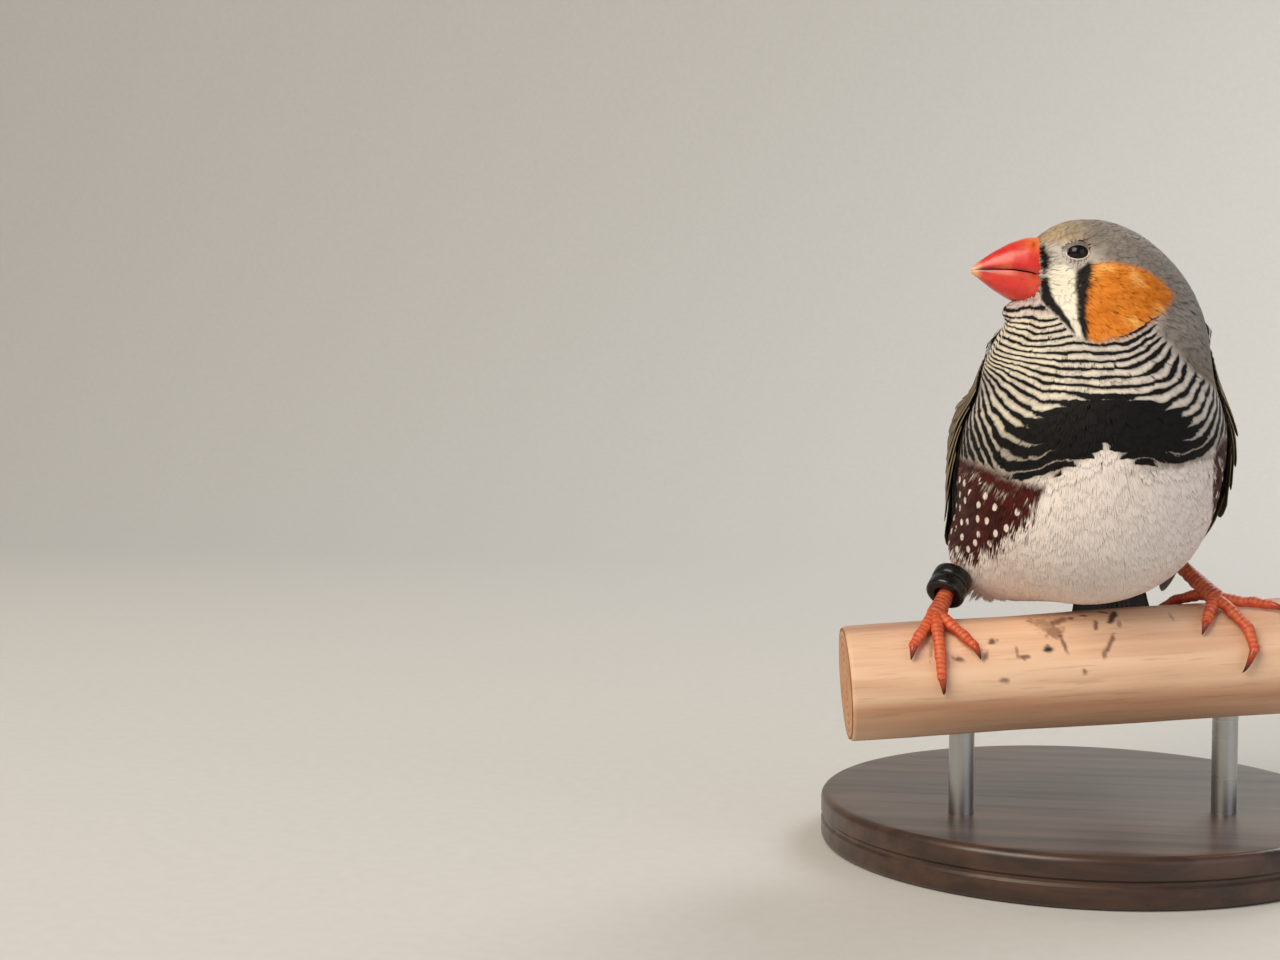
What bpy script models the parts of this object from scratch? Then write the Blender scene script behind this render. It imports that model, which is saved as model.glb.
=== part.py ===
"""A zebra finch cock, life size, standing on a cut length of peeled branch over a plain round stand.

Units are metres and +Z is up. The origin is the middle of the stand's underside. The bird's breast faces -Y,
its own left is +X, and its head is turned to its right. Shapes of the bird are worked out in millimetres
from the point on top of the branch below it, and place() moves them into the part's frame.
"""

import math
from dataclasses import dataclass

import bmesh
import bpy
import numpy as np
from mathutils import Matrix, Vector
from mathutils.bvhtree import BVHTree

MM = 0.001

# Driving sizes, in millimetres
BASE_RADIUS = 43.0
BASE_THICK = 8.0
BASE_EDGE = 1.2
ROD_RADIUS = 2.0
ROD_LENGTH = 14.0
ROD_STATIONS = (-21.0, 21.0)
PERCH_RADIUS = 9.2
PERCH_LENGTH = 76.0
PERCH_MIDDLE = -1.0
PERCH_TURN = 10.0
PERCH_RISE = 3.7
GAP = 0.3
BIRD_BACK = -14.0
BODY_WIDTH = 39.6
HEAD_TURN = -80.0
HEAD_CENTRE = Vector((0.5, -4.0, 50.8))
EYE_RADIUS = 1.8
EYE_PLACE = Vector((5.35, -4.3, 4.9))
LID_THICK = 0.4
EYE_OPENING = (1.55, 1.02)
TAIL_LENGTH = 35.0
TAIL_DROP = 38.0
WING_DROP = 41.5
TARSUS_RADIUS = 1.2
RING_OUTER = 3.15
RING_INNER = 1.55
RING_HEIGHT = 4.5
VANE_THICK = 0.5

PERCH_TOP = BASE_THICK + ROD_LENGTH + 2 * PERCH_RADIUS
ORIGIN = Vector((0.0, BIRD_BACK, PERCH_TOP))

# Colour, roughness and metallic value of each finish
FINISHES = {
    "grey_feather": ((0.22, 0.19, 0.16), 0.85, 0.0),
    "barred_feather": ((0.42, 0.38, 0.33), 0.85, 0.0),
    "pale_feather": ((0.62, 0.52, 0.45), 0.9, 0.0),
    "brown_feather": ((0.16, 0.12, 0.07), 0.8, 0.0),
    "black_feather": ((0.02, 0.017, 0.016), 0.7, 0.0),
    "red_horn": ((0.76, 0.06, 0.03), 0.35, 0.0),
    "orange_scale": ((0.62, 0.15, 0.05), 0.5, 0.0),
    "dark_horn": ((0.2, 0.07, 0.04), 0.45, 0.0),
    "eye": ((0.01, 0.008, 0.007), 0.08, 0.0),
    "black_plastic": ((0.012, 0.012, 0.013), 0.35, 0.0),
    "peeled_branch": ((0.68, 0.47, 0.31), 0.7, 0.0),
    "steel": ((0.6, 0.6, 0.6), 0.35, 1.0),
    "dark_oak": ((0.09, 0.05, 0.03), 0.5, 0.0),
}


def clear_scene():
    """Removes whatever the file holds."""
    for obj in list(bpy.data.objects):
        bpy.data.objects.remove(obj)


def finish(name):
    """The named material, made once."""
    found = bpy.data.materials.get(name)
    if found:
        return found
    colour, roughness, metallic = FINISHES[name]
    material = bpy.data.materials.new(name)
    material.use_nodes = True
    shader = material.node_tree.nodes["Principled BSDF"]
    shader.inputs["Base Color"].default_value = (*colour, 1.0)
    shader.inputs["Roughness"].default_value = roughness
    shader.inputs["Metallic"].default_value = metallic
    material.diffuse_color = (*colour, 1.0)
    return material


def place(point):
    """A point of the bird, in millimetres, as one of the part, in metres."""
    return (Vector(point) + ORIGIN) * MM


def new_object(name, points, faces, finish_name=None):
    """A mesh object from points in millimetres of the bird, with its faces turned outwards."""
    mesh = bpy.data.meshes.new(name)
    mesh.from_pydata([place(p) for p in points], [], faces)
    shape = bmesh.new()
    shape.from_mesh(mesh)
    bmesh.ops.recalc_face_normals(shape, faces=shape.faces)
    shape.to_mesh(mesh)
    shape.free()
    mesh.update()
    obj = bpy.data.objects.new(name, mesh)
    bpy.context.scene.collection.objects.link(obj)
    if finish_name:
        dress(obj, finish_name)
    return obj


def dress(obj, finish_name, sharp_degrees=40.0):
    """Gives an object its finish and smooth shading, with edges kept where it turns sharply."""
    obj.data.materials.clear()
    obj.data.materials.append(finish(finish_name))
    obj.data.shade_smooth()
    obj.data.set_sharp_from_angle(angle=math.radians(sharp_degrees))


def apply_modifiers(obj):
    """Replaces the object's mesh by the one its modifiers make."""
    bpy.context.view_layer.update()
    graph = bpy.context.evaluated_depsgraph_get()
    made = bpy.data.meshes.new_from_object(obj.evaluated_get(graph))
    obj.modifiers.clear()
    obj.data = made


def keep_largest(obj):
    """Drops every closed surface of the mesh but the one that holds most."""
    shape = bmesh.new()
    shape.from_mesh(obj.data)
    bmesh.ops.triangulate(shape, faces=shape.faces)
    unseen = set(shape.faces)
    groups = []
    while unseen:
        group = {unseen.pop()}
        edge_of_group = list(group)
        while edge_of_group:
            face = edge_of_group.pop()
            for edge in face.edges:
                for other in edge.link_faces:
                    if other in unseen:
                        unseen.discard(other)
                        group.add(other)
                        edge_of_group.append(other)
        volume = sum(f.verts[0].co.dot(f.verts[1].co.cross(f.verts[2].co)) for f in group) / 6
        groups.append((abs(volume), group))
    largest = max(groups, key=lambda g: g[0])[1]
    bmesh.ops.delete(shape, geom=[f for f in shape.faces if f not in largest], context="FACES")
    shape.to_mesh(obj.data)
    shape.free()


def combine(obj, others, operation, solver="EXACT"):
    """Joins the others to the object, or cuts them from it, and removes them."""
    group = bpy.data.collections.new("tools")
    bpy.context.scene.collection.children.link(group)
    for other in others:
        group.objects.link(other)
    modifier = obj.modifiers.new("combine", "BOOLEAN")
    modifier.operation = operation
    modifier.solver = solver
    modifier.operand_type = "COLLECTION"
    modifier.collection = group
    apply_modifiers(obj)
    for other in others:
        bpy.data.objects.remove(other)
    bpy.data.collections.remove(group)
    return obj


def node_from(name, pieces, finish_name, cutters=(), sharp_degrees=40.0, solver="EXACT"):
    """One closed node from overlapping pieces, less the cutters."""
    body = pieces[0]
    if len(pieces) > 1:
        combine(body, pieces[1:], "UNION", solver)
    if cutters:
        combine(body, list(cutters), "DIFFERENCE", solver)
    keep_largest(body)
    body.name = name
    body.data.name = name
    dress(body, finish_name, sharp_degrees)
    return body


# The coat's outer surface, as soft masses that run together


@dataclass(frozen=True)
class Mass:
    """A rounded mass: its middle, half sizes (side, front to back, up), pitch, and how softly it joins."""

    centre: tuple
    half: tuple
    pitch: float = 0.0
    blend: float = 7.0


BODY_MASSES = (
    Mass((-0.8, 0.5, 18.4), (BODY_WIDTH / 2, 20.5, 17.4)),
    Mass((0.8, -4.0, 28.5), (19.2, 18.2, 14.5)),
    Mass((0.0, 11.5, 24.0), (16.5, 22.0, 12.5), -42.0),
    Mass((0.8, 18.0, 10.0), (12.0, 15.0, 7.5), -30.0),
    Mass((-12.2, 4.5, 9.6), (9.8, 11.0, 8.6), 0.0, 4.0),
    Mass((1.3, -3.0, 40.0), (15.2, 13.6, 11.0)),
    Mass((6.6, 0.5, 45.2), (9.7, 9.8, 11.2), 0.0, 6.0),
    Mass((-7.2, -6.5, 39.6), (7.6, 8.8, 6.2), 0.0, 6.0),
)

# The same for the head, from its own centre, with its bill towards -Y
HEAD_MASSES = (
    Mass((0.0, 0.5, 0.3), (9.0, 9.6, 9.7), 0.0, 5.0),
    Mass((0.0, -3.5, 3.9), (6.4, 6.9, 6.2), 0.0, 3.0),
    Mass((4.6, 1.6, -3.2), (5.0, 7.4, 6.2), 0.0, 3.0),
    Mass((-4.6, 1.6, -3.2), (5.0, 7.4, 6.2), 0.0, 3.0),
    Mass((0.0, -9.0, -5.5), (4.8, 5.0, 3.3), 0.0, 2.0),
)

HEAD_FRAME = Matrix.Translation(HEAD_CENTRE) @ Matrix.Rotation(math.radians(HEAD_TURN), 4, "Z")


def mass_distance(points, mass):
    """Roughly how far points lie outside a mass, negative inside it."""
    turn = math.radians(mass.pitch)
    local = points - np.array(mass.centre)
    back = local[:, 1] * math.cos(turn) + local[:, 2] * math.sin(turn)
    up = -local[:, 1] * math.sin(turn) + local[:, 2] * math.cos(turn)
    local = np.stack([local[:, 0], back, up], axis=1)
    half = np.array(mass.half)
    share = np.linalg.norm(local / half, axis=1)
    slope = np.linalg.norm(local / half**2, axis=1)
    return share * (share - 1.0) / np.maximum(slope, 1e-9)


def soft_union(first, second, blend):
    """The smooth lower envelope of two distances."""
    share = np.clip(0.5 + 0.5 * (second - first) / blend, 0.0, 1.0)
    return second * (1 - share) + first * share - blend * share * (1 - share)


def coat_distance(points):
    """Roughly how far points lie outside the coat of the body and head together."""
    inverse = np.array(HEAD_FRAME.inverted())
    in_head = points @ inverse[:3, :3].T + inverse[:3, 3]
    total = mass_distance(points, BODY_MASSES[0])
    for mass in BODY_MASSES[1:]:
        total = soft_union(total, mass_distance(points, mass), mass.blend)
    for mass in HEAD_MASSES:
        total = soft_union(total, mass_distance(in_head, mass), mass.blend)
    return total


def reach_surface(start, directions, level):
    """The points where rays from a start inside the coat first come out of it, to the given level."""
    travelled = np.zeros(len(directions))
    for _ in range(90):
        points = start + directions * travelled[:, None]
        travelled += 0.8 * (level - coat_distance(points))
    return start + directions * travelled[:, None]


def cube_sphere(steps):
    """Directions and quads of a sphere made from a cube with evenly spread rows."""
    spread = [math.tan(math.pi / 4 * (2 * i / steps - 1)) for i in range(steps + 1)]
    index, directions, faces = {}, [], []

    def corner(axis, sign, i, j):
        point = [0.0, 0.0, 0.0]
        point[axis] = sign
        point[(axis + 1) % 3] = spread[i]
        point[(axis + 2) % 3] = spread[j]
        key = tuple(round(v, 6) for v in point)
        if key not in index:
            index[key] = len(directions)
            directions.append(Vector(point).normalized())
        return index[key]

    for axis in range(3):
        for sign in (-1.0, 1.0):
            for i in range(steps):
                for j in range(steps):
                    quad = [corner(axis, sign, i, j), corner(axis, sign, i + 1, j)]
                    quad += [corner(axis, sign, i + 1, j + 1), corner(axis, sign, i, j + 1)]
                    faces.append(quad)
    return np.array(directions), faces


def coat_object(name, start, steps, level=0.0):
    """The coat's surface at a level, spread evenly as seen from a start point."""
    directions, faces = cube_sphere(steps)
    points = reach_surface(np.array(start, float), directions, level)
    return new_object(name, points, faces)


def slab(point, normal, above, size=80.0):
    """A thick plate on one side of a plane, for cutting."""
    normal = Vector(normal).normalized()
    turn = normal.to_track_quat("Z", "Y").to_matrix()
    low, high = (0.0, size) if above else (-size, 0.0)
    corners = [(x, y, z) for z in (low, high) for x, y in ((-1, -1), (1, -1), (1, 1), (-1, 1))]
    points = [Vector(point) + turn @ Vector((x * size, y * size, z)) for x, y, z in corners]
    faces = [(0, 1, 2, 3), (4, 5, 6, 7), (0, 1, 5, 4), (1, 2, 6, 5), (2, 3, 7, 6), (3, 0, 4, 7)]
    return new_object("slab", points, faces)


BODY_START = (0.0, 2.0, 26.0)
HEAD_CUT = Vector((0.0, 0.0, 42.6))
HEAD_CUT_NORMAL = Vector((0.25, 0.0, 1.0)).normalized()
NECK_CUT = Vector((0.0, 0.0, 34.5))
NECK_CUT_NORMAL = Vector((0.0, -0.16, 1.0)).normalized()
BODY_STEPS = 13
HEAD_STEPS = 12


def torso_and_neck():
    """The trunk and the neck, parted by a thin cut."""
    half_gap = GAP / 2
    torso = coat_object("torso", BODY_START, BODY_STEPS)
    over_torso = slab(NECK_CUT - NECK_CUT_NORMAL * half_gap, NECK_CUT_NORMAL, True)
    node_from("torso", [torso], "pale_feather", [over_torso])
    neck = coat_object("neck", BODY_START, BODY_STEPS)
    under_neck = slab(NECK_CUT + NECK_CUT_NORMAL * half_gap, NECK_CUT_NORMAL, False)
    over_neck = slab(HEAD_CUT - HEAD_CUT_NORMAL * half_gap, HEAD_CUT_NORMAL, True)
    node_from("neck", [neck], "barred_feather", [under_neck, over_neck])


def in_head(point):
    """A point given from the head's centre, as one of the bird."""
    return HEAD_FRAME @ Vector(point)


def ball(name, centre, radius, columns=16, rows=10, stretch=1.0, axis=Vector((0, 0, 1))):
    """A ball, stretched along an axis."""
    turn = Vector(axis).to_track_quat("Z", "Y").to_matrix()
    rings = []
    for row in range(1, rows):
        polar = math.pi * row / rows
        rings.append((radius * math.sin(polar), radius * math.cos(polar) * stretch))
    return turned(name, centre, turn, rings, columns, radius * stretch, -radius * stretch)


def turned(name, centre, turn, rings, columns, top, bottom):
    """A round shape about an axis from (radius, height) rings, closed by a point at each end."""
    points = [Vector((0, 0, top))]
    for radius, height in rings:
        for column in range(columns):
            angle = 2 * math.pi * column / columns
            points.append(Vector((radius * math.cos(angle), radius * math.sin(angle), height)))
    points.append(Vector((0, 0, bottom)))
    points = [Vector(centre) + turn @ p for p in points]
    faces = []
    last = len(points) - 1
    for column in range(columns):
        after = (column + 1) % columns
        faces.append((0, 1 + column, 1 + after))
        for row in range(len(rings) - 1):
            a, b = 1 + row * columns, 1 + (row + 1) * columns
            faces.append((a + column, b + column, b + after, a + after))
        end = 1 + (len(rings) - 1) * columns
        faces.append((last, end + after, end + column))
    return new_object(name, points, faces)


def eye_frame(side):
    """The middle of an eye and the turn that points +Z out of it, with +X level."""
    centre = in_head((side * EYE_PLACE.x, EYE_PLACE.y, EYE_PLACE.z))
    out = (HEAD_FRAME.to_3x3() @ Vector((side, -0.12, 0.1))).normalized()
    level = Vector((0, 0, 1)).cross(out).normalized()
    return centre, Matrix((level, out.cross(level), out)).transposed()


def head():
    """The head, with lids over the sockets, and the two eyes."""
    skull = coat_object("head", HEAD_CENTRE, HEAD_STEPS)
    below = slab(HEAD_CUT + HEAD_CUT_NORMAL * GAP / 2, HEAD_CUT_NORMAL, False)
    lids, hollows = [], []
    for side in (-1, 1):
        centre, turn = eye_frame(side)
        lids.append(ball("lid", centre, EYE_RADIUS + GAP + LID_THICK, 14, 8))
        hollows.append(ball("socket", centre, EYE_RADIUS + GAP, 12, 7))
        points, faces = [], []
        sides = 12
        for lift in (0.6, 4.0):
            for i in range(sides):
                angle = 2 * math.pi * i / sides
                spot = (EYE_OPENING[0] * math.cos(angle), EYE_OPENING[1] * math.sin(angle), lift)
                points.append(centre + turn @ Vector(spot))
        for i in range(sides):
            j = (i + 1) % sides
            faces.append((i, j, sides + j, sides + i))
        faces += [tuple(range(sides)), tuple(range(sides, 2 * sides))]
        hollows.append(new_object("opening", points, faces))
    node_from("head", [skull, *lids], "grey_feather", [below, *hollows])
    for side, word in ((1, "left"), (-1, "right")):
        centre, _ = eye_frame(side)
        node_from(f"eye_{word}", [ball("eye", centre, EYE_RADIUS, 14, 8)], "eye")


# Stations of the bill, from the head's centre: forward, top, mouth line, underside, half width
BILL_STATIONS = (
    (4.5, 7.6, 0.9, -1.7, 4.1),
    (8.3, 7.6, 1.2, -1.7, 4.1),
    (11.0, 7.5, 2.2, -1.7, 3.7),
    (13.5, 6.7, 2.65, -1.5, 3.0),
    (16.2, 5.3, 2.75, -0.1, 2.0),
    (18.3, 3.9, 2.75, 1.5, 1.0),
    (19.4, 3.05, 2.6, 2.2, 0.35),
)
BILL_SIDES = 12


def bill_half(name, upper):
    """One half of the bill: an arched shell of horn from the stations, its mouth side nearly flat."""
    points, faces = [], []
    for forward, top, mouth, bottom, half_width in BILL_STATIONS:
        seam = mouth + (GAP / 2 if upper else -GAP / 2)
        height = max((top - seam) if upper else (bottom - seam), 0.12, key=abs)
        for i in range(BILL_SIDES):
            angle = 2 * math.pi * i / BILL_SIDES
            arch = math.sin(angle)
            side = half_width * math.copysign(abs(math.cos(angle)) ** 0.9, math.cos(angle))
            lift = height * arch**0.85 if arch > 0 else 0.12 * height * arch
            points.append(in_head((side, -forward, seam + lift + 0.12 * height)))
    count = len(BILL_STATIONS)
    for row in range(count - 1):
        for i in range(BILL_SIDES):
            j = (i + 1) % BILL_SIDES
            a, b = row * BILL_SIDES, (row + 1) * BILL_SIDES
            faces.append((a + i, a + j, b + j, b + i))
    faces.append(tuple(range(BILL_SIDES)))
    faces.append(tuple(range((count - 1) * BILL_SIDES, count * BILL_SIDES)))
    return new_object(name, points, faces)


def bill():
    """Both halves of the bill, cut clear of the face, with a nostril each side of the upper one."""
    nostrils = [ball("pit", in_head((side * 2.5, -10.3, 6.2)), 0.45, 8, 6) for side in (-1, 1)]
    for name, upper, pits in (("bill_upper", True, nostrils), ("bill_lower", False, [])):
        face = coat_object("face", HEAD_CENTRE, HEAD_STEPS, GAP)
        node_from(name, [bill_half(name, upper)], "red_horn", [face, *pits], 50.0)


# Wings lie on the coat: s runs down an axis in the back, w round it from the side, both in millimetres

WING_START = Vector((0.0, -2.0, 36.0))
WING_ALONG = Vector((0.0, math.cos(math.radians(WING_DROP)), -math.sin(math.radians(WING_DROP))))
WING_OVER = Vector((0.0, math.sin(math.radians(WING_DROP)), math.cos(math.radians(WING_DROP))))
WING_ROUND = 18.0
WING_BLADE = {
    1: ((-6.0, 8.0), (0.0, 12.5), (7.0, 18.6), (14.0, 19.7), (22.0, 18.6), (34.0, 16.2), (56.0, 13.0)),
    -1: ((-6.0, 8.0), (0.0, 12.5), (7.0, 19.2), (14.0, 20.9), (24.0, 20.8), (34.0, 18.0), (56.0, 14.0)),
}
WING_WRAP = 0.75


def along(stations, at):
    """The value at a place, read from stations of (place, value) pairs by a straight line."""
    return float(np.interp(at, [s[0] for s in stations], [s[1] for s in stations]))


def wing_points(side, spots):
    """Points of a wing from rows of (s, w, height over the coat)."""
    spots = np.array(spots, float)
    turn = np.clip(spots[:, 1] / WING_ROUND, -1.0, 1.6)
    outward = np.outer(np.cos(turn), (side, 0.0, 0.0)) + np.outer(np.sin(turn), WING_OVER)
    start = np.array(WING_START) + np.outer(spots[:, 0], WING_ALONG)
    reach = np.full(len(spots), 42.0)
    for _ in range(70):
        out = coat_distance(start + outward * reach[:, None])
        reach = np.maximum(reach - 0.8 * out, 0.0)
    blade = np.array([along(WING_BLADE[side], s) for s in spots[:, 0]])
    blade /= np.cos(np.minimum(turn, 0.0))
    wrap = np.clip(turn / WING_WRAP, 0.0, 1.0)
    blade *= 1.0 - 0.55 * wrap * wrap * (3.0 - 2.0 * wrap)
    soft = 2.0
    share = np.clip(0.5 + 0.5 * (blade - reach) / soft, 0.0, 1.0)
    reach = reach * (1 - share) + blade * share + soft * share * (1 - share)
    return start + outward * (reach + spots[:, 2])[:, None]


def sheet(name, side, rows):
    """A closed sheet on the wing's surface from rows of (s, w, bottom, top) spots."""
    columns = len(rows[0])
    low = wing_points(side, [(s, w, a) for row in rows for s, w, a, b in row])
    high = wing_points(side, [(s, w, b) for row in rows for s, w, a, b in row])
    return closed_sheet(name, low, high, len(rows), columns)


def closed_sheet(name, low, high, rows, columns):
    """Two like grids of points joined at their rims, and split into triangles alike."""
    count = rows * columns
    faces = []
    for i in range(rows - 1):
        for j in range(columns - 1):
            a, b = i * columns + j, i * columns + j + 1
            c, d = a + columns, b + columns
            faces += [(a, b, d), (a, d, c)]
            faces += [(count + a, count + d, count + b), (count + a, count + c, count + d)]
    rim = [j for j in range(columns)]
    rim += [i * columns + columns - 1 for i in range(1, rows)]
    rim += [(rows - 1) * columns + j for j in range(columns - 2, -1, -1)]
    rim += [i * columns for i in range(rows - 2, 0, -1)]
    for a, b in zip(rim, rim[1:] + rim[:1]):
        faces.append((a, count + a, count + b, b))
    return new_object(name, list(low) + list(high), faces)


WING_LOWER = ((1.0, -5.0), (6.0, -9.5), (12.0, -11.0), (24.0, -9.5), (40.0, -6.0), (53.0, -2.0))
WING_UPPER = ((1.0, 3.0), (6.0, 12.0), (14.0, 17.5), (28.0, 15.5), (40.0, 8.0), (53.0, -0.5))
VANE_STATIONS = (0.0, 0.4, 0.76, 0.93, 1.0)
VANE_WIDTHS = (0.6, 1.0, 0.94, 0.62, 0.22)
VANE_TILT = 0.42


@dataclass(frozen=True)
class Tier:
    """A row of wing feathers: how many, and the first and last one's root, tip, width and heights."""

    count: int
    roots: tuple
    tips: tuple
    widths: tuple
    heights: tuple
    bow: float = 0.0


WING_TIERS = (
    Tier(6, ((28.0, -7.0), (27.0, -1.0)), ((50.0, -5.0), (41.5, 1.6)), (4.0, 5.0), ((0.42, 0.32), (0.62, 0.5)), 2.6),
    Tier(6, ((13.0, -8.6), (12.0, 0.6)), ((38.5, -7.4), (34.5, 2.8)), (3.8, 4.8), ((0.55, 0.42), (0.62, 0.62)), 0.6),
    Tier(3, ((10.0, 4.0), (9.0, 9.5)), ((35.5, 6.0), (27.0, 12.5)), (5.6, 6.6), ((0.66, 0.62), (0.78, 0.86)), 0.4),
    Tier(5, ((5.5, -6.8), (5.0, 6.6)), ((18.5, -8.4), (16.5, 8.6)), (4.9, 5.4), ((0.6, 0.98), (0.6, 1.12)), 0.5),
    Tier(5, ((2.6, -4.6), (3.0, 6.4)), ((10.5, -7.5), (10.0, 7.9)), (4.4, 4.8), ((0.5, 1.3), (0.5, 1.4)), 0.4),
    Tier(3, ((2.5, 9.0), (5.5, 15.0)), ((16.0, 12.4), (20.5, 16.6)), (5.4, 6.0), ((0.6, 1.45), (0.6, 1.1)), 0.2),
)


def between(pair, share):
    """A value or a point between two."""
    if isinstance(pair[0], tuple):
        return tuple(a + (b - a) * share for a, b in zip(*pair))
    return pair[0] + (pair[1] - pair[0]) * share


def wing_vane(side, root, tip, width, low_root, low_tip):
    """One feather of a wing: a thin blade whose lower edge stands out over its neighbour."""
    root, tip = np.array(root), np.array(tip)
    way = (tip - root) / np.linalg.norm(tip - root)
    over = np.array((-way[1], way[0]))
    rows = []
    for share, factor in zip(VANE_STATIONS, VANE_WIDTHS):
        middle = root + (tip - root) * share
        low = low_root + (low_tip - low_root) * share
        half = width * factor / 2
        lift = VANE_TILT * (0.4 + 0.6 * factor)
        row = []
        for reach, raised in ((-half, lift), (half, 0.0)):
            spot = middle + over * reach
            row.append((spot[0], spot[1], low + raised, low + raised + VANE_THICK))
        rows.append(row)
    return sheet("vane", side, rows)


def wing(name, side):
    """A wing: a thin core on the coat and its feathers in tiers, fused at their roots."""
    rows = []
    for i in range(8):
        s = 1.6 + 33.0 * i / 7
        low, high = along(WING_LOWER, s) + 1.6, along(WING_UPPER, s) - 1.4
        row = []
        for j in range(6):
            across = j / 5
            thick = 0.4 + 0.4 * math.sin(math.pi * across)
            row.append((s, low + (high - low) * across, GAP + 0.15, GAP + 0.2 + thick))
        rows.append(row)
    pieces = [sheet(name, side, rows)]
    order = 0
    for tier in WING_TIERS:
        for k in range(tier.count):
            share = k / (tier.count - 1)
            root, tip = between(tier.roots, share), between(tier.tips, share)
            tip = (tip[0] + tier.bow * math.sin(math.pi * min(share * 1.6, 1.0)), tip[1])
            low_root, low_tip = between(tier.heights, share)
            order += 1
            low_root += 0.011 * (order % 5)
            pieces.append(wing_vane(side, root, tip, between(tier.widths, share), low_root, low_tip))
    body = coat_object("under", BODY_START, BODY_STEPS, GAP)
    node_from(name, pieces, "brown_feather", [body], 20.0, "MANIFOLD")


TAIL_ROOT = Vector((4.4, 22.0, 10.5))
TAIL_YAW = 7.0
TAIL_FRAME = (
    Matrix.Translation(TAIL_ROOT)
    @ Matrix.Rotation(math.radians(-TAIL_YAW), 4, "Z")
    @ Matrix.Rotation(math.radians(-TAIL_DROP), 4, "X")
)


TAIL_PAIRS = 6


def tail_vane(root, tip, width, low_root, low_tip, tilt):
    """One feather of the tail in the tail's frame, from (side, back) root to tip; tilt drops its far edge."""
    root, tip = np.array(root), np.array(tip)
    way = (tip - root) / np.linalg.norm(tip - root)
    over = np.array((way[1], -way[0]))
    low, high = [], []
    for share, factor in zip(VANE_STATIONS, VANE_WIDTHS):
        middle = root + (tip - root) * share
        height = low_root + (low_tip - low_root) * share
        half = width * max(factor, 0.3) / 2
        for reach, raised in ((-half, tilt * -0.5), (half, tilt * 0.5)):
            spot = middle + over * reach
            sag = -0.035 * spot[0] ** 2
            low.append(TAIL_FRAME @ Vector((spot[0], spot[1], height + raised + sag)))
            high.append(TAIL_FRAME @ Vector((spot[0], spot[1], height + raised + sag + VANE_THICK)))
    return closed_sheet("vane", low, high, len(VANE_STATIONS), 2)


def tail():
    """The closed tail: stiff feathers with the middle pair on top, and coverts over and under their roots."""
    low, high = [], []
    rows, columns = 7, 5
    for i in range(rows):
        back = -3.0 + 21.0 * i / (rows - 1)
        half, thick = 3.4 + 0.9 * i / (rows - 1), 2.6 - 1.5 * i / (rows - 1)
        for j in range(columns):
            side = -1 + 2 * j / (columns - 1)
            body = 0.5 + 0.5 * (1 - side * side)
            low.append(TAIL_FRAME @ Vector((side * half, back, -thick * body * 0.6 - 0.3)))
            high.append(TAIL_FRAME @ Vector((side * half, back, thick * body * 0.4)))
    pieces = [closed_sheet("core", low, high, rows, columns)]
    for k in range(TAIL_PAIRS):
        for side in (-1, 1):
            drop = 0.2 * k + (0.1 if side < 0 else 0.0)
            tip = (side * (0.9 + 0.95 * k), TAIL_LENGTH - 0.55 * k - 0.12 * k * k)
            root = (side * (0.5 + 0.42 * k), 4.0 + 0.3 * k)
            tilt = -0.3 * side
            pieces.append(tail_vane(root, tip, 5.0 - 0.1 * k, 0.15 - drop, 0.5 - drop, tilt))
    for k, (spread, reach, width) in enumerate(((5.4, 12.5, 4.2), (3.6, 15.0, 4.6), (1.9, 17.5, 4.8))):
        for side in (-1, 1):
            tip, root = (side * spread, reach), (side * spread * 0.6, -1.0)
            pieces.append(tail_vane(root, tip, width, 0.55, 0.75 + 0.22 * k + 0.06 * side, -0.25 * side))
    pieces.append(tail_vane((0.0, -1.5), (0.0, 14.5), 4.6, 0.9, 1.65, 0.05))
    for spread, reach in ((-2.6, 13.0), (2.6, 13.4), (0.0, 15.5)):
        pieces.append(tail_vane((spread * 0.6, -1.0), (spread, reach), 4.4, -1.7, -1.9 + 0.05 * abs(spread), 0.06))
    body = coat_object("over", BODY_START, BODY_STEPS, GAP)
    node_from("tail", pieces, "black_feather", [body], 20.0, "MANIFOLD")


# The branch lies across the bird's way; spots on it are told by t along it, degrees forward of its top, and height

PERCH_FRAME = (
    Matrix.Rotation(math.radians(PERCH_TURN), 4, "Z")
    @ Matrix.Rotation(math.radians(-PERCH_RISE), 4, "Y")
    @ Matrix.Translation((0, 0, -PERCH_RADIUS))
)


def on_perch(t, degrees, height):
    """A point at a height over the branch's bark."""
    turn = math.radians(degrees)
    reach = PERCH_RADIUS + height
    return PERCH_FRAME @ Vector((t, -reach * math.sin(turn), reach * math.cos(turn)))


def tube(name, path, radii, sides=7):
    """A round bar along a path, with a flat cap at each end."""
    path = [Vector(p) for p in path]
    points, faces = [], []
    ahead = (path[1] - path[0]).normalized()
    across = ahead.cross(Vector((0.3, 0.5, 0.81))).normalized()
    for k, spot in enumerate(path):
        before, after = path[max(k - 1, 0)], path[min(k + 1, len(path) - 1)]
        ahead = (after - before).normalized()
        across = (across - ahead * across.dot(ahead)).normalized()
        other = ahead.cross(across)
        for i in range(sides):
            angle = 2 * math.pi * i / sides
            points.append(spot + radii[k] * (math.cos(angle) * across + math.sin(angle) * other))
        if k:
            a, b = (k - 1) * sides, k * sides
            for i in range(sides):
                j = (i + 1) % sides
                faces.append((a + i, a + j, b + j, b + i))
    faces.append(tuple(range(sides)))
    faces.append(tuple(range(len(points) - sides, len(points))))
    return new_object(name, points, faces)


@dataclass(frozen=True)
class Foot:
    """Where a foot grips and where its leg leaves the coat."""

    word: str
    joint: tuple
    ankle: float
    heel: Vector
    toes: tuple


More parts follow.
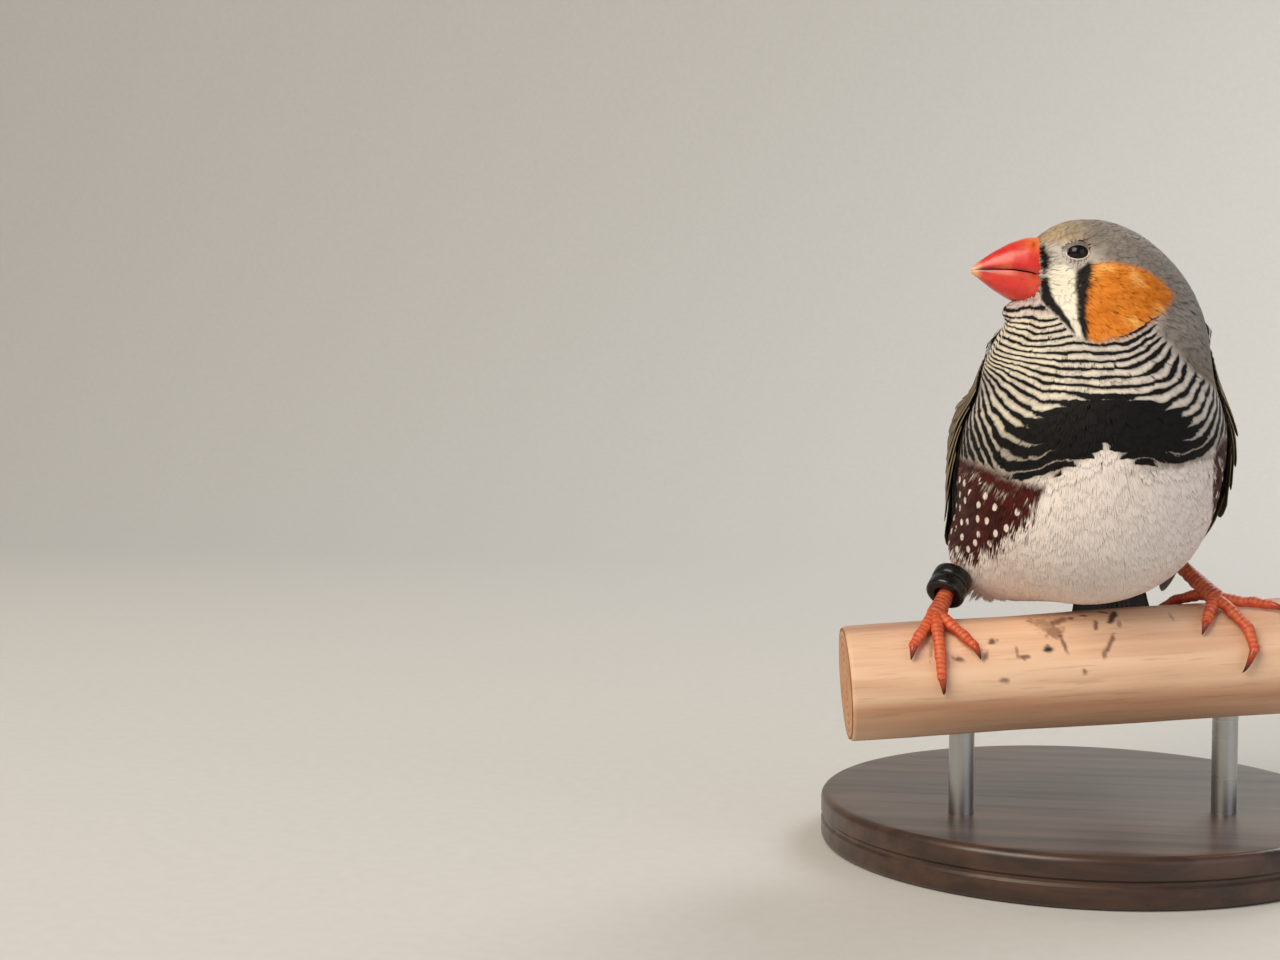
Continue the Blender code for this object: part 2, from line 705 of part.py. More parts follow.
# Each toe: stations of (t, degrees forward) from the joint, then the claw's tip
FEET = (
    Foot(
        "right",
        (-24.4, 14.0),
        2.9,
        Vector((-18.3, 4.2, 9.8)),
        (
            ((-24.4, 14.0), (-24.8, 36.0), (-25.0, 60.0), (-25.1, 80.0), (-24.9, 97.0)),
            ((-24.0, 14.0), (-22.5, 30.0), (-20.9, 44.0), (-19.6, 54.0), (-18.8, 66.0)),
            ((-24.8, 14.0), (-26.2, 27.0), (-27.7, 40.0), (-28.9, 50.0), (-29.5, 62.0)),
            ((-24.4, 10.0), (-23.9, -14.0), (-23.6, -38.0), (-23.5, -58.0), (-23.3, -86.0)),
        ),
    ),
    Foot(
        "left",
        (19.4, 16.0),
        4.3,
        Vector((12.2, 11.6, 9.3)),
        (
            ((19.4, 17.0), (21.0, 35.0), (22.7, 55.0), (23.2, 73.0), (21.9, 92.0)),
            ((19.2, 17.0), (18.6, 30.0), (17.9, 42.0), (17.2, 52.0), (16.4, 64.0)),
            ((19.8, 17.0), (22.4, 20.0), (25.2, 24.0), (27.6, 29.0), (29.8, 40.0)),
            ((19.2, 12.0), (17.2, -8.0), (15.2, -25.0), (13.6, -38.0), (12.0, -58.0)),
        ),
    ),
)
TOE_RADII = (1.12, 1.0, 0.94, 0.86)
JOINT_HEIGHT = 1.5


def toe_path(stations):
    """The middle line and radii of a toe and its claw, from its stations on the branch."""
    path, radii = [], []
    for k in range(len(stations) - 1):
        radius = TOE_RADII[k]
        for share in (0.0, 0.5):
            t = stations[k][0] + (stations[k + 1][0] - stations[k][0]) * share
            turn = stations[k][1] + (stations[k + 1][1] - stations[k][1]) * share
            if k == 3:
                break
            swell = 1.0 if share == 0 else 0.86
            path.append(on_perch(t, turn, GAP + radius * swell + (0.3 if k == 0 else 0.0)))
            radii.append(radius * swell)
    root, tip = stations[3], stations[4]
    for share, radius, lift in ((0.0, 0.72, 0.05), (0.35, 0.55, 0.35), (0.7, 0.36, 0.4), (1.0, 0.12, 0.1)):
        t = root[0] + (tip[0] - root[0]) * share
        turn = root[1] + (tip[1] - root[1]) * share
        path.append(on_perch(t, turn, GAP + radius + lift))
        radii.append(radius)
    return path, radii


def ankle_plane(foot):
    """Where the foot ends and the leg begins: a point on the leg's middle line, and the line's way up."""
    joint = on_perch(foot.joint[0], foot.joint[1], JOINT_HEIGHT)
    way = (foot.heel - joint).normalized()
    return joint, joint + way * foot.ankle, way


def legs():
    """Legs from the coat to the ankle, feet gripping the branch, and the room the torso leaves for them."""
    clear = []
    for foot in FEET:
        joint, ankle, way = ankle_plane(foot)
        pieces = [ball("joint", joint, 1.45, 10, 6)]
        pieces.append(tube("stub", [joint, ankle - way * GAP / 2], [1.35, 1.25], 10))
        for stations in foot.toes:
            path, radii = toe_path(stations)
            pieces.append(tube("toe", path, radii))
        node_from(f"foot_{foot.word}", pieces, "orange_scale", (), 50.0)
        start = ankle + way * GAP / 2
        length = (foot.heel - start).length
        path = [start + way * length * share for share in (0.0, 0.25, 0.6, 0.88, 1.0)]
        path.append(foot.heel + way * 1.6)
        radii = [1.25, TARSUS_RADIUS, TARSUS_RADIUS, 1.35, 1.5, 1.3]
        node_from(f"leg_{foot.word}", [tube("leg", path, radii, 10)], "orange_scale", (), 50.0)
        path[-1] = path[-1] + way * GAP
        clear.append(tube("leg_room", path, [r + GAP for r in radii], 10))
        if foot.word == "right":
            clear.append(leg_ring(start, way, length))
    return clear


def leg_ring(start, way, length):
    """The ring round the right leg; returns the room it needs."""
    middle = start + way * (length * 0.27) + Vector((-0.25, 0.0, 0.0))
    turn = way.to_track_quat("Z", "Y").to_matrix()
    half = RING_HEIGHT / 2
    profile = (
        (RING_OUTER - 0.5, -half), (RING_OUTER, -half + 0.5), (RING_OUTER, -0.35), (RING_OUTER - 0.3, 0.0),
        (RING_OUTER, 0.35), (RING_OUTER, half - 0.5), (RING_OUTER - 0.5, half), (RING_INNER + 0.3, half),
        (RING_INNER, half - 0.3), (RING_INNER, -half + 0.3), (RING_INNER + 0.3, -half),
    )
    points, faces = [], []
    around, sides = 20, len(profile)
    for i in range(around):
        angle = 2 * math.pi * i / around
        for radius, height in profile:
            points.append(middle + turn @ Vector((radius * math.cos(angle), radius * math.sin(angle), height)))
        for j in range(sides):
            after_i, after_j = (i + 1) % around, (j + 1) % sides
            faces.append((i * sides + j, after_i * sides + j, after_i * sides + after_j, i * sides + after_j))
    node_from("leg_ring", [new_object("leg_ring", points, faces)], "black_plastic", (), 50.0)
    room = RING_OUTER + GAP
    ends = [middle - way * (half + GAP), middle + way * (half + GAP)]
    return tube("ring_room", ends, [room, room], 16)


def rod(name, base, radius, low, high, sides=24):
    """An upright round rod in millimetres of the part, on a spot of the bird's frame."""
    path = [Vector((base.x, base.y, low)) - Vector((0, 0, PERCH_TOP)), Vector((base.x, base.y, high - PERCH_TOP))]
    return tube(name, path, [radius, radius], sides)


def perch():
    """The cut length of branch, a little uneven, drilled from below for the rods."""
    stations, sides = 7, 32
    points, faces = [], []
    for k in range(stations):
        t = PERCH_MIDDLE + PERCH_LENGTH * (k / (stations - 1) - 0.5)
        for i in range(sides):
            angle = 2 * math.pi * i / sides
            wave = 0.05 * math.sin(0.19 * t + 1.0) + 0.06 * math.sin(0.11 * t + 2 * angle)
            reach = PERCH_RADIUS - 0.11 + wave
            points.append(PERCH_FRAME @ Vector((t, reach * math.cos(angle), reach * math.sin(angle))))
        if k:
            a, b = (k - 1) * sides, k * sides
            for i in range(sides):
                j = (i + 1) % sides
                faces.append((a + i, a + j, b + j, b + i))
    faces.append(tuple(range(sides)))
    faces.append(tuple(range(len(points) - sides, len(points))))
    body = new_object("perch", points, faces)
    holes = []
    for t in ROD_STATIONS:
        under = PERCH_FRAME @ Vector((t, 0, -PERCH_RADIUS))
        holes.append(rod("hole", under, ROD_RADIUS + GAP, under.z + PERCH_TOP - 6, under.z + PERCH_TOP + 4 + GAP))
    node_from("perch", [body], "peeled_branch", holes)


def stand():
    """The round base and the two rods that carry the branch."""
    inner = BASE_RADIUS - BASE_EDGE
    rings = ((inner, 0.0), (BASE_RADIUS, BASE_EDGE), (BASE_RADIUS, BASE_THICK - BASE_EDGE), (inner, BASE_THICK))
    points, faces = [], []
    sides = 56
    for k, (radius, height) in enumerate(rings):
        for i in range(sides):
            angle = 2 * math.pi * i / sides
            points.append(Vector((radius * math.cos(angle), radius * math.sin(angle), height)) - ORIGIN)
        if k:
            a, b = (k - 1) * sides, k * sides
            for i in range(sides):
                j = (i + 1) % sides
                faces.append((a + i, a + j, b + j, b + i))
    faces.append(tuple(range(sides)))
    faces.append(tuple(range(3 * sides, 4 * sides)))
    base = new_object("stand_base", points, faces)
    holes = []
    for t, word in zip(ROD_STATIONS, ("right", "left")):
        under = PERCH_FRAME @ Vector((t, 0, -PERCH_RADIUS))
        top = under.z + PERCH_TOP + 4.0
        body = rod("rod", under, ROD_RADIUS, BASE_THICK - 4.0, top)
        node_from(f"stand_rod_{word}", [body], "steel")
        holes.append(rod("hole", under, ROD_RADIUS + GAP, BASE_THICK - 4.0 - GAP, BASE_THICK + 6))
    node_from("stand_base", [base], "dark_oak", holes)


def main():
    """Builds the part."""
    clear_scene()
    torso_and_neck()
    head()
    bill()
    for side, word in ((1, "left"), (-1, "right")):
        wing(f"wing_{word}", side)
    tail()
    room = legs()
    torso = bpy.data.objects["torso"]
    node_from("torso", [torso], "pale_feather", room)
    perch()
    stand()


main()
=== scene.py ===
"""The looks of a life-size zebra finch cock on a cut branch and a round stand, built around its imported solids.

Shapes of the bird are worked out in millimetres from the point on top of the branch below it, with its breast
towards -Y and its own left at +X. Part.point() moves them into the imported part's frame, in metres.
"""

from __future__ import annotations

import itertools
import logging
import math
from collections.abc import Callable
from dataclasses import dataclass, field
from enum import Enum

import bpy
import numpy as np
from mathutils import Matrix, Vector


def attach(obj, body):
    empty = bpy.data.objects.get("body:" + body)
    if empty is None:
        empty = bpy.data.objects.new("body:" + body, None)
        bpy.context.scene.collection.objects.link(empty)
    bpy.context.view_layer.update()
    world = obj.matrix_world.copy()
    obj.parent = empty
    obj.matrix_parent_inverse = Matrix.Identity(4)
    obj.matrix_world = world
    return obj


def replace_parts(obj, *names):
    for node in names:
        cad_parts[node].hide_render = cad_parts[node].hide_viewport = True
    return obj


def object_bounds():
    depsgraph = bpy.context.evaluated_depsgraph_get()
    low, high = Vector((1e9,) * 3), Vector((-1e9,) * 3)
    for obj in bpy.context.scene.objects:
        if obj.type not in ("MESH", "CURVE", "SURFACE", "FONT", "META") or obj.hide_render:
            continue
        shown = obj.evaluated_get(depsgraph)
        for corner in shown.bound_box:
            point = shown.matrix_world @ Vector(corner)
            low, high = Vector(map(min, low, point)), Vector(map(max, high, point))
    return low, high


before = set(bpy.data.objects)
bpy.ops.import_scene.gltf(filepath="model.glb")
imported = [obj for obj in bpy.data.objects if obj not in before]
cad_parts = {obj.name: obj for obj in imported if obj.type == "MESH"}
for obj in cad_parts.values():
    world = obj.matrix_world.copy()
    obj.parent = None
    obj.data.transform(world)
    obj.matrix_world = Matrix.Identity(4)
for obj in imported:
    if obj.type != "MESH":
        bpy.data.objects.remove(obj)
CAD_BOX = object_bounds()

LOG = logging.getLogger("zebra_finch")
Array = np.ndarray
Material = bpy.types.Material
Tree = bpy.types.NodeTree
Socket = bpy.types.NodeSocket
MM = 0.001
SEED = 4711

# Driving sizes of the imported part, in millimetres
BASE_RADIUS = 43.0
BASE_THICK = 8.0
ROD_LENGTH = 14.0
ROD_RADIUS = 2.0
ROD_STATIONS = (-21.0, 21.0)
PERCH_RADIUS = 9.2
PERCH_LENGTH = 76.0
PERCH_MIDDLE = -1.0
PERCH_TURN = 10.0
PERCH_RISE = 3.7
GAP = 0.3
PERCH_TOP = BASE_THICK + ROD_LENGTH + 2 * PERCH_RADIUS
ORIGIN = np.array((0.0, -14.0, PERCH_TOP))
HEAD_CENTRE = np.array((0.5, -4.0, 50.8))
HEAD_TURN = -80.0
EYE_RADIUS = 1.8
EYE_PLACE = (5.35, -4.3, 4.9)
EYE_OPENING = (1.55, 1.02)
HIGHEST = CAD_BOX[1][2] / MM - PERCH_TOP - 0.03
SKIN_START = np.array((0.0, -2.0, 34.0))
SKIN_STEPS = 96
# How much of a distance each step of a search for the coat takes, and how many steps reach it
STRIDE = 0.8
SKIN_STRIDES, WING_STRIDES = 70, 60
# The coat's area in square millimetres, with room to spare, and how many places are tried for each feather
COAT_AREA = 14000
TRIES = 3
SPOT_SPACING = 2.25
SOFT_TOP = 0.2


class Slot(Enum):
    """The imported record's material slots."""

    PALE = "pale_feather"
    BARRED = "barred_feather"
    GREY = "grey_feather"
    BROWN = "brown_feather"
    BLACK = "black_feather"
    HORN = "red_horn"
    EYE = "eye"
    SCALE = "orange_scale"
    RING = "black_plastic"
    WOOD = "peeled_branch"
    STEEL = "steel"
    OAK = "dark_oak"


def linear(code: str) -> Array:
    """The linear colour of an sRGB hex code.

    Args:
        code: six hex digits after a hash sign.

    Returns:
        Red, green and blue from 0 to 1.
    """
    value = np.array([int(code[i : i + 2], 16) for i in (1, 3, 5)]) / 255
    return np.where(value <= 0.04045, value / 12.92, ((value + 0.055) / 1.055) ** 2.4)


def smooth(low: float, high: float, value: Array) -> Array:
    """A soft step from 0 at low to 1 at high, either way round."""
    share = np.clip((np.asarray(value, float) - low) / (high - low), 0.0, 1.0)
    return share * share * (3.0 - 2.0 * share)


def unit(vectors: Array) -> Array:
    """The vectors at length one."""
    return vectors / np.maximum(np.linalg.norm(vectors, axis=-1, keepdims=True), 1e-9)


def mix(first: Array | str, second: Array | str, share: Array) -> Array:
    """Colours between two.

    Args:
        first: colours, or one hex code.
        second: colours, or one hex code.
        share: how much of the second, for each row.

    Returns:
        The colours.
    """
    first, second = (linear(colour) if isinstance(colour, str) else colour for colour in (first, second))
    share = np.asarray(share, float)[..., None]
    return first * (1 - share) + second * share


def at(stations: tuple, place: Array) -> Array:
    """Values read from (place, value) stations by straight lines."""
    return np.interp(place, [s[0] for s in stations], [s[1] for s in stations])


def noise(points: Array, cell: float, seed: int) -> Array:
    """Smooth noise over space.

    Args:
        points: places in millimetres, one a row.
        cell: the size of its lumps in millimetres.
        seed: which noise.

    Returns:
        One value a row, from -1 to 1.
    """
    grid = points / cell + 13.7 * seed
    base = np.floor(grid).astype(np.int64)
    part = grid - base
    part = part * part * (3 - 2 * part)
    total = np.zeros(len(points))
    for corner in itertools.product((0, 1), repeat=3):
        spot = base + np.array(corner)
        mixed = spot[:, 0] * 73856093 ^ spot[:, 1] * 19349663 ^ spot[:, 2] * 83492791 ^ seed * 2654435
        mixed = (mixed ^ (mixed >> 13)) * 1274126177 & 0xFFFFFF
        weight = np.prod(np.where(np.array(corner) == 1, part, 1 - part), axis=1)
        total += weight * (mixed / 0x7FFFFF - 1.0)
    return total


class Part:
    """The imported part's frame."""

    @staticmethod
    def point(points: Array) -> Array:
        """Points of the bird in millimetres as points of the part in metres."""
        return (np.asarray(points, float) + ORIGIN) * MM


# Materials


def add_node(tree: Tree, kind: str, settings: dict | None = None, links: dict | None = None):
    """Adds a node with its settings and links.

    Args:
        tree: the node tree.
        kind: the node's type, without its ShaderNode prefix.
        settings: properties by name.
        links: inputs by name or number, each a value or the socket that feeds it.

    Returns:
        The node.
    """
    made = tree.nodes.new("ShaderNode" + kind)
    for name, value in (settings or {}).items():
        setattr(made, name, value)
    for name, value in (links or {}).items():
        if isinstance(value, Socket):
            tree.links.new(value, made.inputs[name])
        else:
            made.inputs[name].default_value = value
    return made


def calc(tree: Tree, operation: str, *values: object) -> Socket:
    """The result of one sum on sockets and numbers.

    Args:
        tree: the node tree.
        operation: the Math node's operation.
        values: its inputs.

    Returns:
        The result's socket.
    """
    return add_node(tree, "Math", {"operation": operation}, dict(enumerate(values))).outputs[0]


def soft_step(tree: Tree, value: object, low: object, high: object) -> Socket:
    """A socket that steps softly from 0 at low to 1 at high."""
    links = {"Value": value, "From Min": low, "From Max": high}
    return add_node(tree, "MapRange", {"interpolation_type": "SMOOTHSTEP"}, links).outputs[0]


def blend(tree: Tree, share: object, first: object, second: object, how: str = "MIX"):
    """A colour socket between two colours.

    Args:
        tree: the node tree.
        share: how much of the second.
        first: a colour, its hex code or its socket.
        second: a colour, its hex code or its socket.
        how: the blend type.

    Returns:
        The colour's socket.
    """
    made = add_node(tree, "Mix", {"data_type": "RGBA", "blend_type": how})
    for index, value in ((0, share), (6, first), (7, second)):
        if isinstance(value, Socket):
            tree.links.new(value, made.inputs[index])
        elif index:
            made.inputs[index].default_value = (*(linear(value) if isinstance(value, str) else value), 1.0)
        else:
            made.inputs[index].default_value = value
    return made.outputs[2]


def attribute(tree: Tree, name: str) -> bpy.types.Node:
    """A node that reads one of the mesh's own attributes."""
    return add_node(tree, "Attribute", {"attribute_name": name})


def start_material(name: str, settings: dict) -> tuple[Material, Tree, bpy.types.Node]:
    """A new material and its Principled shader with plain settings.

    Args:
        name: the material's name.
        settings: values of the shader's inputs by name.

    Returns:
        The material, its tree and its shader.
    """
    made = bpy.data.materials.new(name)
    made.use_nodes = True
    tree = made.node_tree
    shader = tree.nodes["Principled BSDF"]
    for key, value in settings.items():
        shader.inputs[key].default_value = value
    return made, tree, shader


@dataclass(frozen=True)
class Feather:
    """Feather keratin in fine barbs. Barbs scatter light, so it looks matt with a faint sheen along the lie."""

    name: str
    roughness: float = 0.7
    sheen: float = 0.05
    streak: float = 0.12
    edge: str = "#B8A578"
    edge_share: float = 0.0
    shaft_share: float = 0.0
    barb_bump: float = 0.0

    def material(self) -> Material:
        """Builds the finish: tint by region, bars across the lie, spots by the tip, and barbs.

        Returns:
            The material.
        """
        made, tree, shader = start_material(
            self.name,
            {"Roughness": self.roughness, "IOR": 1.55, "Sheen Weight": self.sheen, "Sheen Roughness": 0.45,
             "Specular IOR Level": 0.2},
        )
        tint = attribute(tree, "tint").outputs["Color"]
        marks = add_node(tree, "SeparateXYZ", links={0: attribute(tree, "marks").outputs["Vector"]}).outputs
        barb = add_node(tree, "SeparateXYZ", links={0: attribute(tree, "barb").outputs["Vector"]}).outputs
        across = calc(tree, "ABSOLUTE", barb[0])
        streak_place = add_node(tree, "CombineXYZ", links={
            0: calc(tree, "MULTIPLY_ADD", barb[0], 7.0, calc(tree, "MULTIPLY", barb[2], 61.0)),
            1: calc(tree, "MULTIPLY", barb[1], 3.0), 2: barb[2]})
        links = {"Vector": streak_place.outputs[0], "Scale": 1.0, "Detail": 1.5}
        streak = add_node(tree, "TexNoise", links=links)
        grain = calc(tree, "MULTIPLY_ADD", streak.outputs[0], 2 * self.streak, 1.0 - self.streak)
        grey = add_node(tree, "CombineColor", links={channel: grain for channel in range(3)}).outputs[0]
        colour = blend(tree, 1.0, tint, grey, "MULTIPLY")
        if self.edge_share:
            rim = calc(tree, "MAXIMUM", soft_step(tree, across, 0.7, 1.0), soft_step(tree, barb[1], 0.9, 1.0))
            colour = blend(tree, calc(tree, "MULTIPLY", rim, self.edge_share), colour, self.edge)
        if self.shaft_share:
            shaft = calc(tree, "MULTIPLY", soft_step(tree, across, 0.075, 0.035), self.shaft_share)
            colour = blend(tree, shaft, colour, "#2A1E14")
        wave = calc(tree, "MULTIPLY", calc(tree, "PINGPONG", marks[0], 0.5), 2.0)
        edge = calc(tree, "MULTIPLY_ADD", marks[1], -1.4, 1.2)
        low, high = calc(tree, "SUBTRACT", edge, 0.13), calc(tree, "ADD", edge, 0.13)
        # A soft grey-brown penumbra is painted beside each bar, as painted shade along its edges
        bar_penumbra_shade = calc(tree, "MULTIPLY", soft_step(tree, wave, calc(tree, "SUBTRACT", edge, 0.55), edge),
                    calc(tree, "MULTIPLY", soft_step(tree, marks[1], 0.08, 0.3), 0.4))
        colour = blend(tree, bar_penumbra_shade, colour, "#6E6055")
        colour = blend(tree, soft_step(tree, wave, low, high), colour, "#0A0807")
        # Each spot of the flanks is an oval about 0.9 mm wide and 1.4 mm long
        near = add_node(tree, "SeparateXYZ", links={0: attribute(tree, "spot").outputs["Vector"]}).outputs
        side, along = calc(tree, "DIVIDE", near[0], 0.45), calc(tree, "DIVIDE", near[1], 0.7)
        reach = calc(tree, "ADD", calc(tree, "MULTIPLY", side, side), calc(tree, "MULTIPLY", along, along))
        spot = calc(tree, "MULTIPLY", soft_step(tree, reach, 1.3, 0.6), near[2])
        colour = blend(tree, spot, colour, "#F4E7DC")
        tree.links.new(colour, shader.inputs["Base Color"])
        if self.barb_bump:
            slant = calc(tree, "MULTIPLY_ADD", barb[1], 60.0, calc(tree, "MULTIPLY", across, -9.0))
            ridge = calc(tree, "SINE", calc(tree, "MULTIPLY", slant, 2 * math.pi))
            height = calc(tree, "MULTIPLY_ADD", ridge, 0.3, streak.outputs[0])
            links = {"Height": height, "Strength": self.barb_bump, "Distance": 0.0001}
            tree.links.new(add_node(tree, "Bump", links=links).outputs[0], shader.inputs["Normal"])
        return made


@dataclass(frozen=True)
class Figure:
    """A pattern in a finish: lumps to the metre, and the soft step of it that shows in a colour.

    Height and gloss say how much it adds to the relief and to the roughness. Cells are the grooves between
    lumps.
    """

    scale: float
    detail: float
    low: float = 0.5
    high: float = 0.75
    share: float = 0.0
    colour: str = "#000000"
    height: float = 0.0
    gloss: float = 0.0
    cells: bool = False
    distortion: float = 0.0

    def node(self, tree: Tree, place: Socket) -> Socket:
        """Adds the pattern.

        Args:
            tree: the node tree.
            place: where each point lies.

        Returns:
            The pattern's socket.
        """
        if self.cells:
            links = {"Vector": place, "Scale": self.scale}
            edges = add_node(tree, "TexVoronoi", {"feature": "DISTANCE_TO_EDGE"}, links)
            return soft_step(tree, edges.outputs[0], 0.12, 0.0)
        links = {"Vector": place, "Scale": self.scale, "Detail": self.detail, "Distortion": self.distortion}
        return add_node(tree, "TexNoise", links=links).outputs[0]


@dataclass(frozen=True)
class Finish:
    """A finish on one colour or on the mesh's own tint, under figures that change colour, relief and gloss."""

    name: str
    settings: dict[str, object]
    figures: tuple[Figure, ...]
    colour: str = ""
    tinted: bool = True
    grained: bool = False
    stretch: tuple[float, float, float] | None = None
    relief: tuple[float, float] | None = None
    gloss: float = 0.0

    def material(self) -> Material:
        """Builds the finish.

        Returns:
            The material.
        """
        made, tree, shader = start_material(self.name, self.settings)
        place = add_node(tree, "TexCoord").outputs["Object"]
        if self.grained:
            place = attribute(tree, "grain").outputs["Vector"]
        if self.stretch:
            place = add_node(tree, "Mapping", links={"Vector": place, "Scale": self.stretch}).outputs[0]
        tint = attribute(tree, "tint").outputs["Color"] if self.tinted else None
        colour = linear(self.colour) if self.colour else tint
        height, gloss = 0.0, self.gloss
        for figure in self.figures:
            pattern = figure.node(tree, place)
            if figure.share:
                shown = pattern if figure.cells else soft_step(tree, pattern, figure.low, figure.high)
                colour = blend(tree, calc(tree, "MULTIPLY", shown, figure.share), colour, figure.colour)
            if figure.height:
                height = calc(tree, "MULTIPLY_ADD", pattern, figure.height, height)
            if figure.gloss:
                gloss = calc(tree, "MULTIPLY_ADD", pattern, figure.gloss, gloss)
        if self.colour and self.tinted:
            colour = blend(tree, 1.0, colour, tint, "MULTIPLY")
        feeds = {"Base Color": colour, "Roughness": gloss}
        if self.relief:
            links = {"Height": height, "Strength": self.relief[0], "Distance": self.relief[1]}
            feeds["Normal"] = add_node(tree, "Bump", links=links).outputs[0]
        for name, socket in feeds.items():
            if isinstance(socket, Socket):
                tree.links.new(socket, shader.inputs[name])
        return made


BODY_FEATHER = Feather("body_feather_keratin")
WING_FEATHER = Feather("wing_feather_keratin", 0.6, 0.08, 0.2, "#B5A27A", 0.5, 0.6, 0.45)
TAIL_FEATHER = Feather("tail_feather_keratin", 0.55, 0.06, 0.2, "#4A3C30", 0.3, 0.5, 0.45)
# Living horn over bone, coloured through its depth: waxy and smooth, with growth lines about 0.7 mm apart
BILL_HORN = Finish(
    "bill_horn",
    {"Roughness": 0.36, "IOR": 1.54, "Subsurface Weight": 0.12, "Subsurface Radius": (1.0, 0.3, 0.15),
     "Subsurface Scale": 0.0008, "Coat Weight": 0.25, "Coat Roughness": 0.2},
    (Figure(330.0, 3.0, 0.5, 0.75, 0.38, "#F4794A", 1.0, 0.25),
     Figure(900.0, 3.0, 0.55, 0.3, 0.35, "#A81208", 1.0)),
    relief=(0.35, 0.0001), gloss=0.24,
)
# Scaled skin of leg and toes: dull orange plates, worn paler, in cells of about 0.4 mm with red grooves
FOOT_SKIN = Finish(
    "foot_scale",
    {"Roughness": 0.46, "IOR": 1.54, "Subsurface Weight": 0.1, "Subsurface Radius": (1.0, 0.25, 0.1),
     "Subsurface Scale": 0.0006},
    (Figure(700.0, 4.0, 0.42, 0.72, 0.45, "#F0864E", 1.0),
     Figure(1900.0, 0.0, share=0.16, colour="#7A1A0C", height=-0.35, cells=True)),
    relief=(0.5, 0.0001),
)
# Claw horn is thin and hard, polished by wear on the branch, so it shines more than the skin
CLAW_HORN = Finish(
    "claw_horn", {"Roughness": 0.3, "IOR": 1.54},
    (Figure(1600.0, 3.0, share=0.4, colour="#3A140A", height=1.0),),
    relief=(0.3, 0.00008),
)
# The lids are bare, dry skin with fine creases, dull beside the wet eye
LID_SKIN = Finish(
    "lid_skin", {"Roughness": 0.55, "IOR": 1.54},
    (Figure(1500.0, 3.0, share=0.4, colour="#6E675E", height=1.0),),
    relief=(0.3, 0.00008),
)
# A wet cornea over a dark iris with fine spokes: a clear, hard gloss over deep brown that reads as black
WET_EYE = Finish(
    "wet_eye",
    {"Roughness": 0.3, "IOR": 1.376, "Specular IOR Level": 0.2, "Coat Weight": 0.7, "Coat Roughness": 0.02,
     "Coat IOR": 1.376},
    (Figure(2500.0, 2.0, 0.4, 0.7, 0.35, "#050303"),),
)
# Nylon, injection moulded and polished: a deep black with a sharp gloss, scuffed in marks of about 0.5 mm
MOULDED_NYLON = Finish(
    "moulded_black_nylon", {"Roughness": 0.22, "IOR": 1.53},
    (Figure(1500.0, 4.0, 0.62, 0.8, 1.0, "#3A3A3C", 1.0, 0.3),),
    "#0E0E10", False, relief=(0.15, 0.0001), gloss=0.1,
)
# Dry peeled wood: long pores and figure stretch with the fibres under the stains of use
PEELED_WOOD = Finish(
    "peeled_willow", {"Roughness": 0.62, "IOR": 1.5},
    (Figure(1000 / 3, 4.0, 0.35, 0.68, 1.0, "#DDB190", 1.0, 0.2, distortion=0.4),
     Figure(2000.0, 3.0, 0.56, 0.7, 0.35, "#BE9272", -0.6)),
    "#EFCAA8", True, True, (1 / 16, 1.0, 1.0), (0.3, 0.00012), 0.52,
)
# Oak under dark stain and thin varnish: open pores under a satin film
STAINED_OAK = Finish(
    "stained_oak_varnished", {"Roughness": 0.42, "IOR": 1.5, "Coat Weight": 0.35, "Coat Roughness": 0.25},
    (Figure(2500 / 9, 4.0, 0.35, 0.68, 1.0, "#2E1B10", 1.0, 0.2, distortion=0.4),
     Figure(5000 / 3, 3.0, 0.56, 0.7, 0.35, "#170C06", -0.6)),
    "#4A3020", False, True, (1 / 14, 1.0, 1.0), (0.3, 0.00012), 0.32,
)
# Stainless rod, centreless ground: fine rings, drawn about 0.25 mm apart, blur its reflections lengthwise
GROUND_STEEL = Finish(
    "ground_steel", {"Base Color": (*linear("#B4B4B2"), 1.0), "Metallic": 1.0, "Roughness": 0.3},
    (Figure(1.0, 3.0, height=1.0, gloss=0.3),),
    tinted=False, stretch=(40.0, 40.0, 4000.0), relief=(0.12, 0.00005), gloss=0.18,
)


# Meshes


